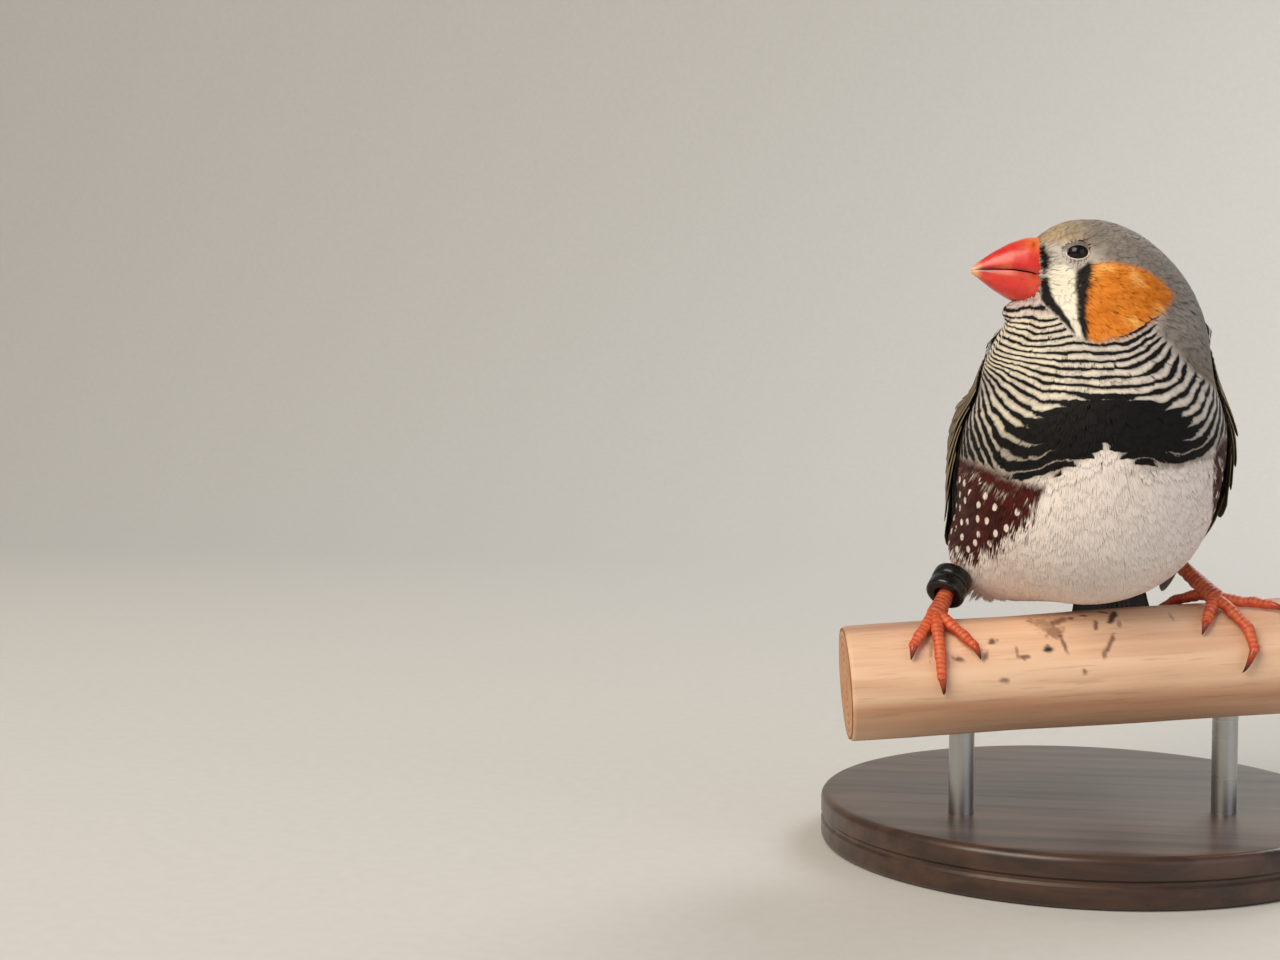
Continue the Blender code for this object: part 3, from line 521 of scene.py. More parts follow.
@dataclass
class Cloud:
    """A mesh in the making: points in millimetres, faces, and what its material reads at each point."""

    points: list[Array] = field(default_factory=list)
    faces: list[Array] = field(default_factory=list)
    layers: dict[str, list[Array]] = field(default_factory=dict)
    count: int = 0

    def add(self, points: Array, faces: Array, **layers: Array) -> None:
        """Adds points with their faces and layers.

        Args:
            points: places, one a row.
            faces: rows of point numbers within these points; a triangle in a quad row repeats its last.
            layers: values at each point by layer name.
        """
        self.points.append(np.asarray(points, float).reshape(-1, 3))
        faces = np.asarray(faces, np.int64)
        if faces.shape[1] == 3:
            faces = np.concatenate([faces, faces[:, 2:]], axis=1)
        self.faces.append(faces + self.count)
        self.count += len(self.points[-1])
        for name, values in layers.items():
            self.layers.setdefault(name, []).append(np.asarray(values, float))

    def build(self, name: str, material: Material, slot: Slot, sharp: float = 180.0) -> bpy.types.Object:
        """Makes the object and lets it ride on the part.

        Args:
            name: the piece's name.
            material: its finish.
            slot: the record's slot; not used.
            sharp: the angle in degrees over which an edge stays sharp.

        Returns:
            The object.
        """
        points = Part.point(np.concatenate(self.points))
        faces = np.concatenate(self.faces)
        sides = np.where(faces[:, 2] == faces[:, 3], 3, 4)
        keep = np.ones(faces.shape, bool)
        keep[:, 3] = sides == 4
        corners = faces[keep]
        mesh = bpy.data.meshes.new(name)
        mesh.vertices.add(len(points))
        mesh.vertices.foreach_set("co", points.astype(np.float32).ravel())
        mesh.loops.add(len(corners))
        mesh.loops.foreach_set("vertex_index", corners.astype(np.int32))
        mesh.polygons.add(len(faces))
        mesh.polygons.foreach_set("loop_start", (np.cumsum(sides) - sides).astype(np.int32))
        mesh.update(calc_edges=True)
        mesh.shade_smooth()
        if sharp < 180.0:
            mesh.set_sharp_from_angle(angle=math.radians(sharp))
        for key, values in self.layers.items():
            data = np.concatenate(values)
            if key == "normal":
                mesh.normals_split_custom_set_from_vertices(unit(data).tolist())
            elif key == "patch":
                layer = mesh.uv_layers.new(name="OFBake")
                layer.data.foreach_set("uv", data[corners].astype(np.float32).ravel())
            elif key == "tint":
                layer = mesh.attributes.new(key, "FLOAT_COLOR", "POINT")
                filled = np.concatenate([np.clip(data, 0, 1), np.ones((len(data), 1))], axis=1)
                layer.data.foreach_set("color", filled.astype(np.float32).ravel())
            else:
                layer = mesh.attributes.new(key, "FLOAT_VECTOR", "POINT")
                layer.data.foreach_set("vector", data.astype(np.float32).ravel())
        mesh.materials.append(material)
        obj = bpy.data.objects.new(name, mesh)
        bpy.context.scene.collection.objects.link(obj)
        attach(obj, "root")
        LOG.info("%s: %d faces", name, len(faces))
        return obj


def grid_faces(rows: int, columns: int, wrap: bool = False, start: int = 0) -> Array:
    """Quads of a grid of points.

    Args:
        rows: how many rows of points.
        columns: how many points in a row.
        wrap: joins the last column to the first.
        start: the number of the first point.

    Returns:
        Rows of four point numbers.
    """
    row, column = np.meshgrid(np.arange(rows - 1), np.arange(columns if wrap else columns - 1), indexing="ij")
    after = (column + 1) % columns
    here, ahead = row * columns, (row + 1) * columns
    quads = [here + column, here + after, ahead + after, ahead + column]
    return np.stack([q.ravel() for q in quads], axis=1) + start


def tube_faces(rows: int, sides: int) -> Array:
    """Quads of a closed tube: its rings of points, then the middles of its first and last ring.

    Args:
        rows: how many rings.
        sides: how many points in each.

    Returns:
        Rows of four point numbers.
    """
    step = np.arange(sides)
    after = (step + 1) % sides
    hub, last = rows * sides, (rows - 1) * sides
    low = np.stack([after, step, *[np.full(sides, hub)] * 2], axis=1)
    high = np.stack([last + step, last + after, *[np.full(sides, hub + 1)] * 2], axis=1)
    return np.concatenate([grid_faces(rows, sides, wrap=True), low, high])


def turned(profile: list, around: int, closed: bool = False) -> tuple[Array, Array]:
    """A turned solid about +Z.

    Args:
        profile: (radius, height) corners from below to above, outside before inside.
        around: how many sides it has.
        closed: joins the last corner to the first, for a ring.

    Returns:
        Points and quads.
    """
    radius, height = np.array(profile).T
    angle = 2 * math.pi * np.arange(around) / around
    points = np.stack([np.outer(np.cos(angle), radius), np.outer(np.sin(angle), radius),
                       np.broadcast_to(height, (around, len(height)))], axis=2).reshape(-1, 3)
    return points, grid_faces(around + 1, len(height), wrap=closed) % len(points)


def tube(path: Array, radii: Array, sides: int, flat: float = 1.0) -> tuple[Array, Array]:
    """A closed round bar along a path.

    Args:
        path: its middle line.
        radii: its radius at each point of the line, or at each point and side.
        sides: how many sides it has.
        flat: how high it is for its width.

    Returns:
        Points and quads.
    """
    ahead = unit(np.gradient(path, axis=0))
    up = np.array((0.05, -0.1, 1.0))
    across = unit(np.cross(ahead, up))
    over = np.cross(across, ahead)
    angle = 2 * math.pi * np.arange(sides) / sides
    radii = np.asarray(radii, float)
    radii = radii[:, None] if radii.ndim == 1 else radii
    points = path[:, None] + (radii * np.cos(angle))[..., None] * across[:, None]
    points = points + (radii * np.sin(angle) * flat)[..., None] * over[:, None]
    points = np.concatenate([points.reshape(-1, 3), path[:1], path[-1:]])
    return points, tube_faces(len(path), sides)


def curve_through(stations: Array, count: int) -> Array:
    """Rows evenly spread along a smooth curve through stations.

    Args:
        stations: rows of numbers, the first three of them a place.
        count: how many rows to make.

    Returns:
        The rows.
    """
    stations = np.asarray(stations, float)
    ends = np.concatenate([2 * stations[:1] - stations[1:2], stations, 2 * stations[-1:] - stations[-2:-1]])
    fine = []
    for k in range(len(stations) - 1):
        a, b, c, d = ends[k : k + 4]
        t = np.linspace(0, 1, 20, endpoint=k == len(stations) - 2)[:, None]
        fine.append(0.5 * (2 * b + (c - a) * t + (2 * a - 5 * b + 4 * c - d) * t**2
                           + (3 * b - a - 3 * c + d) * t**3))
    fine = np.concatenate(fine)
    run = np.concatenate([[0], np.cumsum(np.linalg.norm(np.diff(fine[:, :3], axis=0), axis=1))])
    even = np.linspace(0, run[-1], count)
    return np.stack([np.interp(even, run, column) for column in fine.T], axis=1)


# The bird's form


@dataclass(frozen=True)
class Mass:
    """A rounded mass of the coat: its middle, half sizes, pitch in degrees, and how softly it joins."""

    centre: tuple[float, float, float]
    half: tuple[float, float, float]
    pitch: float = 0.0
    blend: float = 7.0

    def distance(self, points: Array) -> Array:
        """Roughly how far points lie outside it, negative inside.

        Args:
            points: places in millimetres, one a row.

        Returns:
            The distances.
        """
        turn = math.radians(self.pitch)
        local = points - np.array(self.centre)
        back = local[:, 1] * math.cos(turn) + local[:, 2] * math.sin(turn)
        up = -local[:, 1] * math.sin(turn) + local[:, 2] * math.cos(turn)
        local = np.stack([local[:, 0], back, up], axis=1) / np.array(self.half)
        share = np.sqrt(np.einsum("ij,ij->i", local, local))
        local /= np.array(self.half)
        slope = np.sqrt(np.einsum("ij,ij->i", local, local))
        return share * (share - 1.0) / np.maximum(slope, 1e-9)


BODY_MASSES = (
    Mass((-0.8, 0.5, 18.4), (19.8, 20.5, 17.4)),
    Mass((0.8, -4.0, 28.5), (19.2, 18.2, 14.5)),
    Mass((0.0, 11.5, 24.0), (16.5, 22.0, 12.5), -42.0),
    Mass((0.8, 18.0, 10.0), (12.0, 15.0, 7.5), -30.0),
    Mass((-12.2, 4.5, 9.6), (9.8, 11.0, 8.6), 0.0, 4.0),
    Mass((1.3, -3.0, 40.0), (15.2, 13.6, 11.0)),
    Mass((6.6, 0.5, 45.2), (9.7, 9.8, 11.2), 0.0, 6.0),
    Mass((-7.2, -6.5, 39.6), (7.6, 8.8, 6.2), 0.0, 6.0),
)
HEAD_MASSES = (
    Mass((0.0, 0.5, 0.3), (9.0, 9.6, 9.7), 0.0, 5.0),
    Mass((0.0, -3.5, 3.9), (6.4, 6.9, 6.2), 0.0, 3.0),
    Mass((4.6, 1.6, -3.2), (5.0, 7.4, 6.2), 0.0, 3.0),
    Mass((-4.6, 1.6, -3.2), (5.0, 7.4, 6.2), 0.0, 3.0),
    Mass((0.0, -9.0, -5.5), (4.8, 5.0, 3.3), 0.0, 2.0),
    Mass((0.0, -11.4, -4.0), (3.2, 3.5, 2.1), 0.0, 0.8),
)
_TURN = math.radians(HEAD_TURN)
HEAD_AXES = np.array(
    ((math.cos(_TURN), -math.sin(_TURN), 0.0), (math.sin(_TURN), math.cos(_TURN), 0.0), (0.0, 0.0, 1.0))
)
BILL_ROOT = HEAD_CENTRE + HEAD_AXES @ np.array((0.0, -8.0, 2.0))
TAIL_AIM = np.array((5.5, 36.0, -6.0))


def from_head(points: Array) -> Array:
    """Points given from the head's centre, with the bill towards -Y, as points of the bird."""
    return HEAD_CENTRE + np.asarray(points, float) @ HEAD_AXES.T


def to_head(points: Array) -> Array:
    """Points of the bird as seen from the head's centre."""
    return (points - HEAD_CENTRE) @ HEAD_AXES


def to_cheek(points: Array) -> Array:
    """Points of the bird as seen from the head's centre, with its right side folded onto its left."""
    local = to_head(points)
    local[:, 0] = np.abs(local[:, 0])
    return local


class Coat:
    """The coat's outer surface, as soft masses that run together."""

    def distance(self, points: Array) -> Array:
        """Roughly how far points lie outside the coat, negative inside.

        Args:
            points: places in millimetres, one a row.

        Returns:
            The distances.
        """
        total = BODY_MASSES[0].distance(points)
        local = to_head(points)
        others = [(m, points) for m in BODY_MASSES[1:]] + [(m, local) for m in HEAD_MASSES]
        for mass, seen in others:
            other = mass.distance(seen)
            share = np.clip(0.5 + 0.5 * (other - total) / mass.blend, 0.0, 1.0)
            total = other * (1 - share) + total * share - mass.blend * share * (1 - share)
        # The throat draws in a little under the bill, where the coat lies flatter than the solids
        for hollow, deep in (((-12.0, -12.5, 44.4), 1.2), ((-15.5, -6.0, 43.4), 1.3)):
            gone = points - np.array(hollow)
            total = total + deep * np.exp(-np.einsum("ij,ij->i", gone, gone) / 11.0)
        return total

    def slope(self, points: Array) -> tuple[Array, Array]:
        """The distance at points and how it grows in each direction.

        Args:
            points: places in millimetres, one a row.

        Returns:
            The distances and their slopes.
        """
        here = self.distance(points)
        step = 0.05
        parts = [self.distance(points + step * np.eye(3)[axis]) - here for axis in range(3)]
        return here, np.stack(parts, axis=1) / step

    def settle(self, points: Array, levels: Array, passes: int = 2) -> tuple[Array, Array]:
        """Moves points square to the coat until they lie at given levels.

        Args:
            points: places near the coat.
            levels: how far outside the coat each should lie.
            passes: how often to correct.

        Returns:
            The moved points and the coat's normals there.
        """
        for _ in range(passes):
            here, slope = self.slope(points)
            square = np.maximum(np.einsum("ij,ij->i", slope, slope), 0.05)
            points = points + slope * ((levels - here) / square)[:, None]
        return points, unit(slope)

    def depth(self, points: Array) -> Array:
        """How deep the skin lies under the coat: least by the bill, and in a hollow at each eye.

        Args:
            points: places in millimetres, one a row.

        Returns:
            The depths.
        """
        deep = 0.1 + 0.45 * smooth(4.5, 22.0, np.linalg.norm(points - BILL_ROOT, axis=1))
        gone = to_cheek(points) - np.array((6.4, EYE_PLACE[1], EYE_PLACE[2]))
        eye = np.linalg.norm(gone / (1.0, 1.15, 1.0), axis=1)
        return deep + 1.4 * smooth(1.9, 1.2, eye)

    def lie(self, points: Array, normals: Array) -> Array:
        """Where feathers point: back from the bill on the head, towards the tail on the body.

        Args:
            points: places in millimetres, one a row.
            normals: outward directions there.

        Returns:
            The directions.
        """
        share = smooth(11.0, 21.0, np.linalg.norm(points - HEAD_CENTRE, axis=1))
        way = mix(unit(points - BILL_ROOT), unit(TAIL_AIM - points), share)
        way -= normals * np.einsum("ij,ij->i", way, normals)[:, None]
        return unit(way)


def from_segment(across: Array, up: Array, start: tuple, end: tuple) -> tuple[Array, Array]:
    """How far points of a plane lie from a segment.

    Args:
        across: their first coordinates.
        up: their second coordinates.
        start: one end of the segment.
        end: its other end.

    Returns:
        Where along the segment each point's nearest spot lies, from 0 to 1, and the distance to it.
    """
    run, rise = end[0] - start[0], end[1] - start[1]
    share = np.clip(((across - start[0]) * run + (up - start[1]) * rise) / (run**2 + rise**2), 0, 1)
    return share, np.hypot(across - start[0] - share * run, up - start[1] - share * rise)


@dataclass(frozen=True)
class Line:
    """A mark on the side of the face: a line through (forward, up) stations with its half width at each."""

    stations: tuple[tuple[float, float, float], ...]

    def cover(self, across: Array, up: Array, soft: float) -> Array:
        """How much of the mark covers each point.

        Args:
            across: places along the head, forward negative.
            up: heights on the head.
            soft: the width of its edge.

        Returns:
            A share from 0 to 1 for each.
        """
        best = np.full(len(across), 1e9)
        for start, end in itertools.pairwise(self.stations):
            share, gap = from_segment(across, up, start, end)
            best = np.minimum(best, gap - (start[2] + share * (end[2] - start[2])))
        return smooth(soft, -soft, best)


FRONT_LINE = Line(((-9.1, 5.6, 0.6), (-9.05, 3.0, 0.65), (-9.1, 1.7, 0.0), (-9.1, 0.9, 0.62),
                   (-8.75, -2.0, 0.72), (-7.9, -3.6, 0.6), (-7.0, -5.0, 0.45), (-6.0, -7.0, 0.2)))
WHITE_STRIPE = Line(((-6.9, 1.4, 1.8), (-6.6, -2.0, 1.5), (-6.0, -4.6, 0.95), (-5.2, -7.4, 0.55)))
REAR_LINE = Line(((-3.0, 3.1, 0.5), (-3.9, 1.6, 1.1), (-4.3, -0.6, 0.92), (-4.5, -3.6, 0.7), (-4.5, -6.0, 0.55),
                  (-4.6, -7.8, 0.3)))
CHEEK_OUTLINE = ((-4.4, 1.6), (-2.2, 3.3), (0.6, 3.5), (4.0, 2.8), (7.7, 0.9), (10.0, -1.0), (9.2, -2.6),
                 (6.9, -4.3), (4.2, -6.2), (1.4, -7.5), (-3.0, -8.5), (-4.9, -7.6), (-4.6, -3.0))
FACE_LOWER_EDGE = ((-14.0, -1.6), (-9.7, -1.9), (-9.0, -3.4), (-7.6, -5.2), (-6.2, -7.8), (-3.0, -8.9),
                   (1.4, -7.8), (6.9, -4.6), (10.0, -1.6), (16.0, 0.5))
BARRED_HALF_WIDTH = ((20.0, 100.0), (28.0, 92.0), (33.0, 78.0), (35.5, 60.0), (38.0, 63.0), (41.7, 90.0),
                     (46.0, 112.0))
FRONT_PROFILE = ((20.0, -21.4), (26.0, -22.0), (30.0, -22.2), (33.6, -21.1), (38.0, -19.4), (41.8, -17.3),
                 (46.0, -14.2))
BELLY_TOP = ((-120.0, 12.0), (-60.0, 15.0), (-40.0, 20.3), (-28.0, 21.8), (-15.0, 22.6), (-8.0, 24.6),
             (1.0, 26.8), (9.0, 25.2), (14.0, 24.2), (28.0, 23.4), (38.0, 24.2), (50.0, 26.4), (62.0, 24.0),
             (80.0, 16.0), (120.0, 12.0))
FLANK_LOW = ((-140.0, 13.0), (-110.0, 10.0), (-76.0, 9.4), (-60.0, 10.5), (-46.0, 12.4), (-33.0, 15.6),
             (-24.0, 18.6), (-19.0, 21.5), (50.0, 25.0), (55.0, 20.5), (62.0, 17.6), (80.0, 14.5),
             (110.0, 11.0), (140.0, 13.0))
FLANK_HIGH = ((-140.0, 14.0), (-110.0, 22.0), (-76.0, 24.5), (-50.0, 23.5), (-33.0, 21.5), (-19.0, 21.0),
              (50.0, 25.5), (56.0, 27.5), (80.0, 28.5), (110.0, 24.0), (140.0, 14.0))


def inside(outline: tuple, across: Array, up: Array) -> Array:
    """Signed distance to a closed outline in a plane, negative inside it.

    Args:
        outline: its corners.
        across: first coordinates of the points.
        up: second coordinates.

    Returns:
        The distances.
    """
    best = np.full(len(across), 1e9)
    within = np.zeros(len(across), bool)
    for (y0, z0), (y1, z1) in zip(outline, outline[1:] + outline[:1]):
        best = np.minimum(best, from_segment(across, up, (y0, z0), (y1, z1))[1])
        crosses = (z0 > up) != (z1 > up)
        within ^= crosses & (across < y0 + (up - z0) * (y1 - y0) / (z1 - z0 + 1e-12))
    return np.where(within, -best, best)


class Zone(Enum):
    """Fields of like feathers."""

    FACE = 0
    CROWN = 1
    CHEEK = 2
    THROAT = 3
    BREAST = 4
    FLANK = 5
    BELLY = 6
    VENT = 7
    MANTLE = 8


@dataclass
class Paint:
    """What the plumage shows at each point."""

    tint: Array
    phase: Array
    share: Array
    spot: Array
    zone: Array

    def marks(self) -> Array:
        """The bars and spots as one layer."""
        return np.stack([self.phase, self.share, self.spot], axis=1)


class Plumage:
    """The cock's markings, worked out from place on the body. Skin and coat share them."""

    @staticmethod
    def head(points: Array, local: Array, fine: Array) -> tuple[Array, Array]:
        """The head's own colours: crown, lores, cheek patch, white stripe and black lines.

        Args:
            points: places in millimetres, one a row.
            local: the same as seen from the head's centre, a little ragged.
            fine: fine noise there.

        Returns:
            The colours, and how much of the cheek patch covers each point.
        """
        forward, up = local[:, 1], local[:, 2]
        fore = smooth(-1.0, -7.0, forward)
        crown = mix("#8B8177", "#B59F7E", 0.85 * fore * smooth(1.0, 5.0, up))
        scaled = noise(points, 0.55, 7)
        crown *= (1 + (0.22 + 0.14 * fore) * scaled + 0.1 * fine)[:, None]
        lores = smooth(-4.0, -5.5, forward) * smooth(7.4, 5.6, up)
        under_eye = smooth(-6.5, -4.0, forward) * smooth(3.0, 0.0, np.abs(up - 3.6))
        under_eye *= smooth(0.5, -2.5, forward)
        crown = mix(crown, linear("#C9C1B6") * (1 + 0.08 * scaled)[:, None], np.maximum(lores, 0.8 * under_eye))
        cheek = smooth(0.5, -0.5, inside(CHEEK_OUTLINE, forward, up))
        orange = mix("#F0932E", "#CC6A10", 0.5 + 0.5 * noise(points * (1, 1, 1.8), 1.0, 8))
        orange = mix(orange, "#FBB45C", smooth(0.2, 0.9, noise(points, 2.0, 9)))
        crown = mix(crown, orange, cheek)
        crown = mix(crown, "#F6F0DC", WHITE_STRIPE.cover(forward, up, 0.25))
        black = np.maximum(FRONT_LINE.cover(forward, up, 0.2), REAR_LINE.cover(forward, up, 0.25))
        black *= (np.abs(local[:, 0]) > 2.2) | (up < 2.0)
        crown = mix(crown, "#120E0D", black)
        return crown, cheek

    @staticmethod
    def bars(points: Array, local: Array, ragged: Array) -> Array:
        """Where points lie in the run of dark bars, which repeats at each whole number.

        Args:
            points: places in millimetres, one a row.
            local: the same as seen from the head's centre, a little ragged.
            ragged: fine noise there.

        Returns:
            The phases.
        """
        # Bars hang like nested garlands: level in front, rising at both sides and towards the chin's right
        drop = 50.5 - points[:, 2] + 0.5 * (points[:, 1] - at(FRONT_PROFILE, points[:, 2]))
        aside_mm = np.abs(points[:, 0] - 1.0)
        drop += 0.38 * np.minimum(points[:, 0] + 3.0, 0.0) * smooth(37.0, 47.0, points[:, 2])
        drop += 0.5 * np.maximum(points[:, 0] - 4.5, 0.0) * smooth(36.0, 42.0, points[:, 2])
        drop += 0.35 * np.maximum(aside_mm - 9.0, 0.0) * smooth(41.0, 35.0, points[:, 2])
        drop += 0.42 * smooth(5.0, 16.0, aside_mm) * np.minimum(points[:, 2] - 38.0, 0.0)
        phase = np.interp(drop, (-10.0, 6.0, 17.0, 45.0), (-10.0, 5.6, 13.9, 33.0))
        phase += 0.17 * noise(points, 2.2, 10) + 0.3 * noise(points, 6.0, 11) + 0.08 * ragged[:, 0]
        chin = smooth(-8.5, -10.5, local[:, 1]) * smooth(-3.4, -2.2, local[:, 2])
        phase += 0.35 * chin * noise(points, 0.8, 13)
        return phase

    def paint(self, points: Array) -> Paint:
        """The markings at points of the bird.

        Args:
            points: places in millimetres.

        Returns:
            Colour, bars, spots and zone at each.
        """
        ragged = np.stack([noise(points, 1.1, s) for s in (1, 2, 3)], axis=1)
        broad = noise(points, 4.0, 4)
        spots = points + 0.4 * ragged
        local = to_head(points + 0.16 * ragged)
        forward, up = local[:, 1], local[:, 2]
        height = spots[:, 2]
        bearing = np.degrees(np.arctan2(spots[:, 0] - 0.5, 1.0 - spots[:, 1]))
        fine = noise(points, 0.8, 5)

        mantle, nape = linear("#7B6D5C"), linear("#8C847C")
        tint = mix(mantle, nape, smooth(36.0, 45.0, height + 2 * broad))
        tint *= (1 + 0.16 * fine + 0.08 * broad)[:, None]
        rump = smooth(15.0, 22.0, points[:, 1]) * smooth(22.0, 14.0, height)
        tint = mix(tint, "#B9B0A4", 0.75 * rump)
        zone = np.full(len(points), Zone.MANTLE.value)

        middle = -80.0 * smooth(34.0, 46.0, height)
        aside = np.abs((bearing - middle + 180) % 360 - 180)
        width = at(BARRED_HALF_WIDTH, height)
        barred = smooth(5.0, -5.0, aside - width)
        cream = mix("#F0E7D0", "#CFC5BF", smooth(0.25, 0.95, aside / width + 0.1 * broad))
        # The bird's left side of the barred field is painted greyer than its right, as painted shade on the side
        # away from the key light
        key_lit_side = smooth(10.0, -14.0, points[:, 0])
        cream = mix("#DAD0C8", cream, 0.35 + 0.65 * key_lit_side)
        cream = mix(cream, "#CDB9BC", 0.8 * smooth(-8.0, -10.0, forward) * smooth(-5.5, -3.0, up))
        cream = mix(cream, "#8E857F", 0.6 * smooth(33.0, 25.0, height))
        tint = mix(tint, cream * (1 + 0.1 * fine)[:, None], barred)
        zone[barred > 0.5] = Zone.THROAT.value
        zone[(barred > 0.5) & (height < 38.0)] = Zone.BREAST.value

        belly_top = at(BELLY_TOP, bearing)
        belly = smooth(0.7, -0.7, height - belly_top)
        white = mix("#FBEFE6", "#E8D6C6", smooth(8.0, 26.0, points[:, 1]))
        tint = mix(tint, white * (1 + 0.04 * broad)[:, None], belly)
        zone[belly > 0.5] = Zone.BELLY.value

        flank = smooth(-0.6, 0.6, height - at(FLANK_LOW, bearing))
        flank *= smooth(0.8, -0.8, height - at(FLANK_HIGH, bearing))
        flank *= smooth(132.0, 120.0, np.abs(bearing))
        chestnut = mix("#561608", "#2C0B05", 0.5 + 0.5 * noise(points, 1.4, 6))
        tint = mix(tint, chestnut, flank)
        zone[flank > 0.5] = Zone.FLANK.value
        zone[(points[:, 1] > 12.0) & (height < 10.0) & (flank < 0.5)] = Zone.VENT.value

        face = smooth(-0.35, 0.35, up - at(FACE_LOWER_EDGE, forward))
        face *= smooth(24.0, 20.0, np.linalg.norm(points - HEAD_CENTRE, axis=1))
        crown, cheek = self.head(points, local, fine)
        tint = mix(tint, crown, face)
        near = np.linalg.norm(points - BILL_ROOT, axis=1)
        zone[face > 0.5] = Zone.CROWN.value
        zone[(face > 0.5) & (near < 8.5)] = Zone.FACE.value
        zone[(near < 7.0)] = Zone.FACE.value
        zone[(face > 0.5) & (cheek > 0.5)] = Zone.CHEEK.value

        phase = self.bars(points, local, ragged)
        reach = np.hypot((bearing - 4.0) / 34.0, (height - 29.6 + 0.02 * np.abs(bearing - 4.0)) / 4.7)
        band = smooth(1.12, 0.82, reach + 0.06 * broad)
        low_band = smooth(1.5, 0.0, np.abs(height - belly_top - 1.8) - 1.2)
        low_band *= smooth(60.0, 40.0, np.abs(bearing))
        share = 0.4 + 0.1 * smooth(0.4, 1.0, aside / width) + 0.2 * smooth(34.0, 25.0, height)
        share += 0.08 * noise(points, 1.8, 12)
        share = np.maximum(share * (1 - band) + band, 0.78 * low_band)
        share *= barred * (1 - belly) * (1 - flank) * (1 - face)
        return Paint(tint, phase, share, flank, zone)


# Feathers of the body, in tufts of fine locks


@dataclass(frozen=True)
class Tract:
    """A field of like feathers, sizes in millimetres. Each feather is a fan of fine locks from one root."""

    zone: Zone
    slot: Slot
    spacing: float
    length: float
    width: float
    locks: int
    lift: float
    spread: float
    contrast: float
    ragged: float = 0.1


TRACTS = (
    Tract(Zone.FACE, Slot.GREY, 0.5, 1.6, 0.9, 5, 0.02, 6.0, 0.02, 0.0),
    Tract(Zone.CROWN, Slot.GREY, 0.62, 2.6, 1.2, 8, 0.015, 8.0, 0.05, 0.1),
    Tract(Zone.CHEEK, Slot.GREY, 0.6, 3.4, 1.1, 9, 0.03, 9.0, 0.08, 0.3),
    Tract(Zone.THROAT, Slot.BARRED, 0.68, 2.6, 1.4, 9, 0.015, 5.0, 0.03),
    Tract(Zone.BREAST, Slot.BARRED, 0.85, 3.4, 1.8, 11, 0.015, 4.0, 0.03),
    Tract(Zone.FLANK, Slot.BARRED, 1.2, 5.4, 2.6, 13, 0.06, 8.0, 0.1, 0.9),
    Tract(Zone.BELLY, Slot.PALE, 0.95, 5.6, 2.4, 15, 0.02, 8.0, 0.012, 0.2),
    Tract(Zone.VENT, Slot.PALE, 1.3, 6.5, 2.6, 13, 0.2, 12.0, 0.03, 0.2),
    Tract(Zone.MANTLE, Slot.GREY, 1.0, 4.0, 2.1, 11, 0.02, 6.0, 0.04),
)
THIGH_TUFT = np.array((-17.4, 0.5, 3.4))
LOCK_POINTS = 10
LOCK_STATIONS = np.array((0.0, 0.5, 0.82, 1.0))
LOCK_WIDTHS = np.array((0.7, 1.0, 0.66, 0.04))
LOCK_FACES = np.array(
    [f for i in (0, 3)
     for f in ((i, i + 1, i + 4, i + 3), (i + 1, i + 2, i + 5, i + 4), (i + 2, i, i + 3, i + 5))]
    + [(6, 7, 9, 9), (7, 8, 9, 9), (8, 6, 9, 9), (0, 2, 1, 1)]
)
MOST_LOCKS = 12200
PATCH = 0.0015


def cube_place(points: Array) -> Array:
    """Where points lie on an unwrap of the skin: six faces of a cube about its start, laid out as 3 by 2.

    Args:
        points: places on or near the skin.

    Returns:
        Two map coordinates for each.
    """
    way = points - SKIN_START
    axis = np.abs(way).argmax(axis=1)
    rows = np.arange(len(way))
    main = way[rows, axis]
    first, second = way[rows, (axis + 1) % 3], way[rows, (axis + 2) % 3]
    spread = np.arctan(np.stack([first, second], axis=1) / np.abs(main)[:, None]) / (math.pi / 2) + 0.5
    corner = np.stack([axis, (main > 0).astype(float)], axis=1)
    return (corner + 0.03 + 0.94 * spread) / (3.0, 2.0)


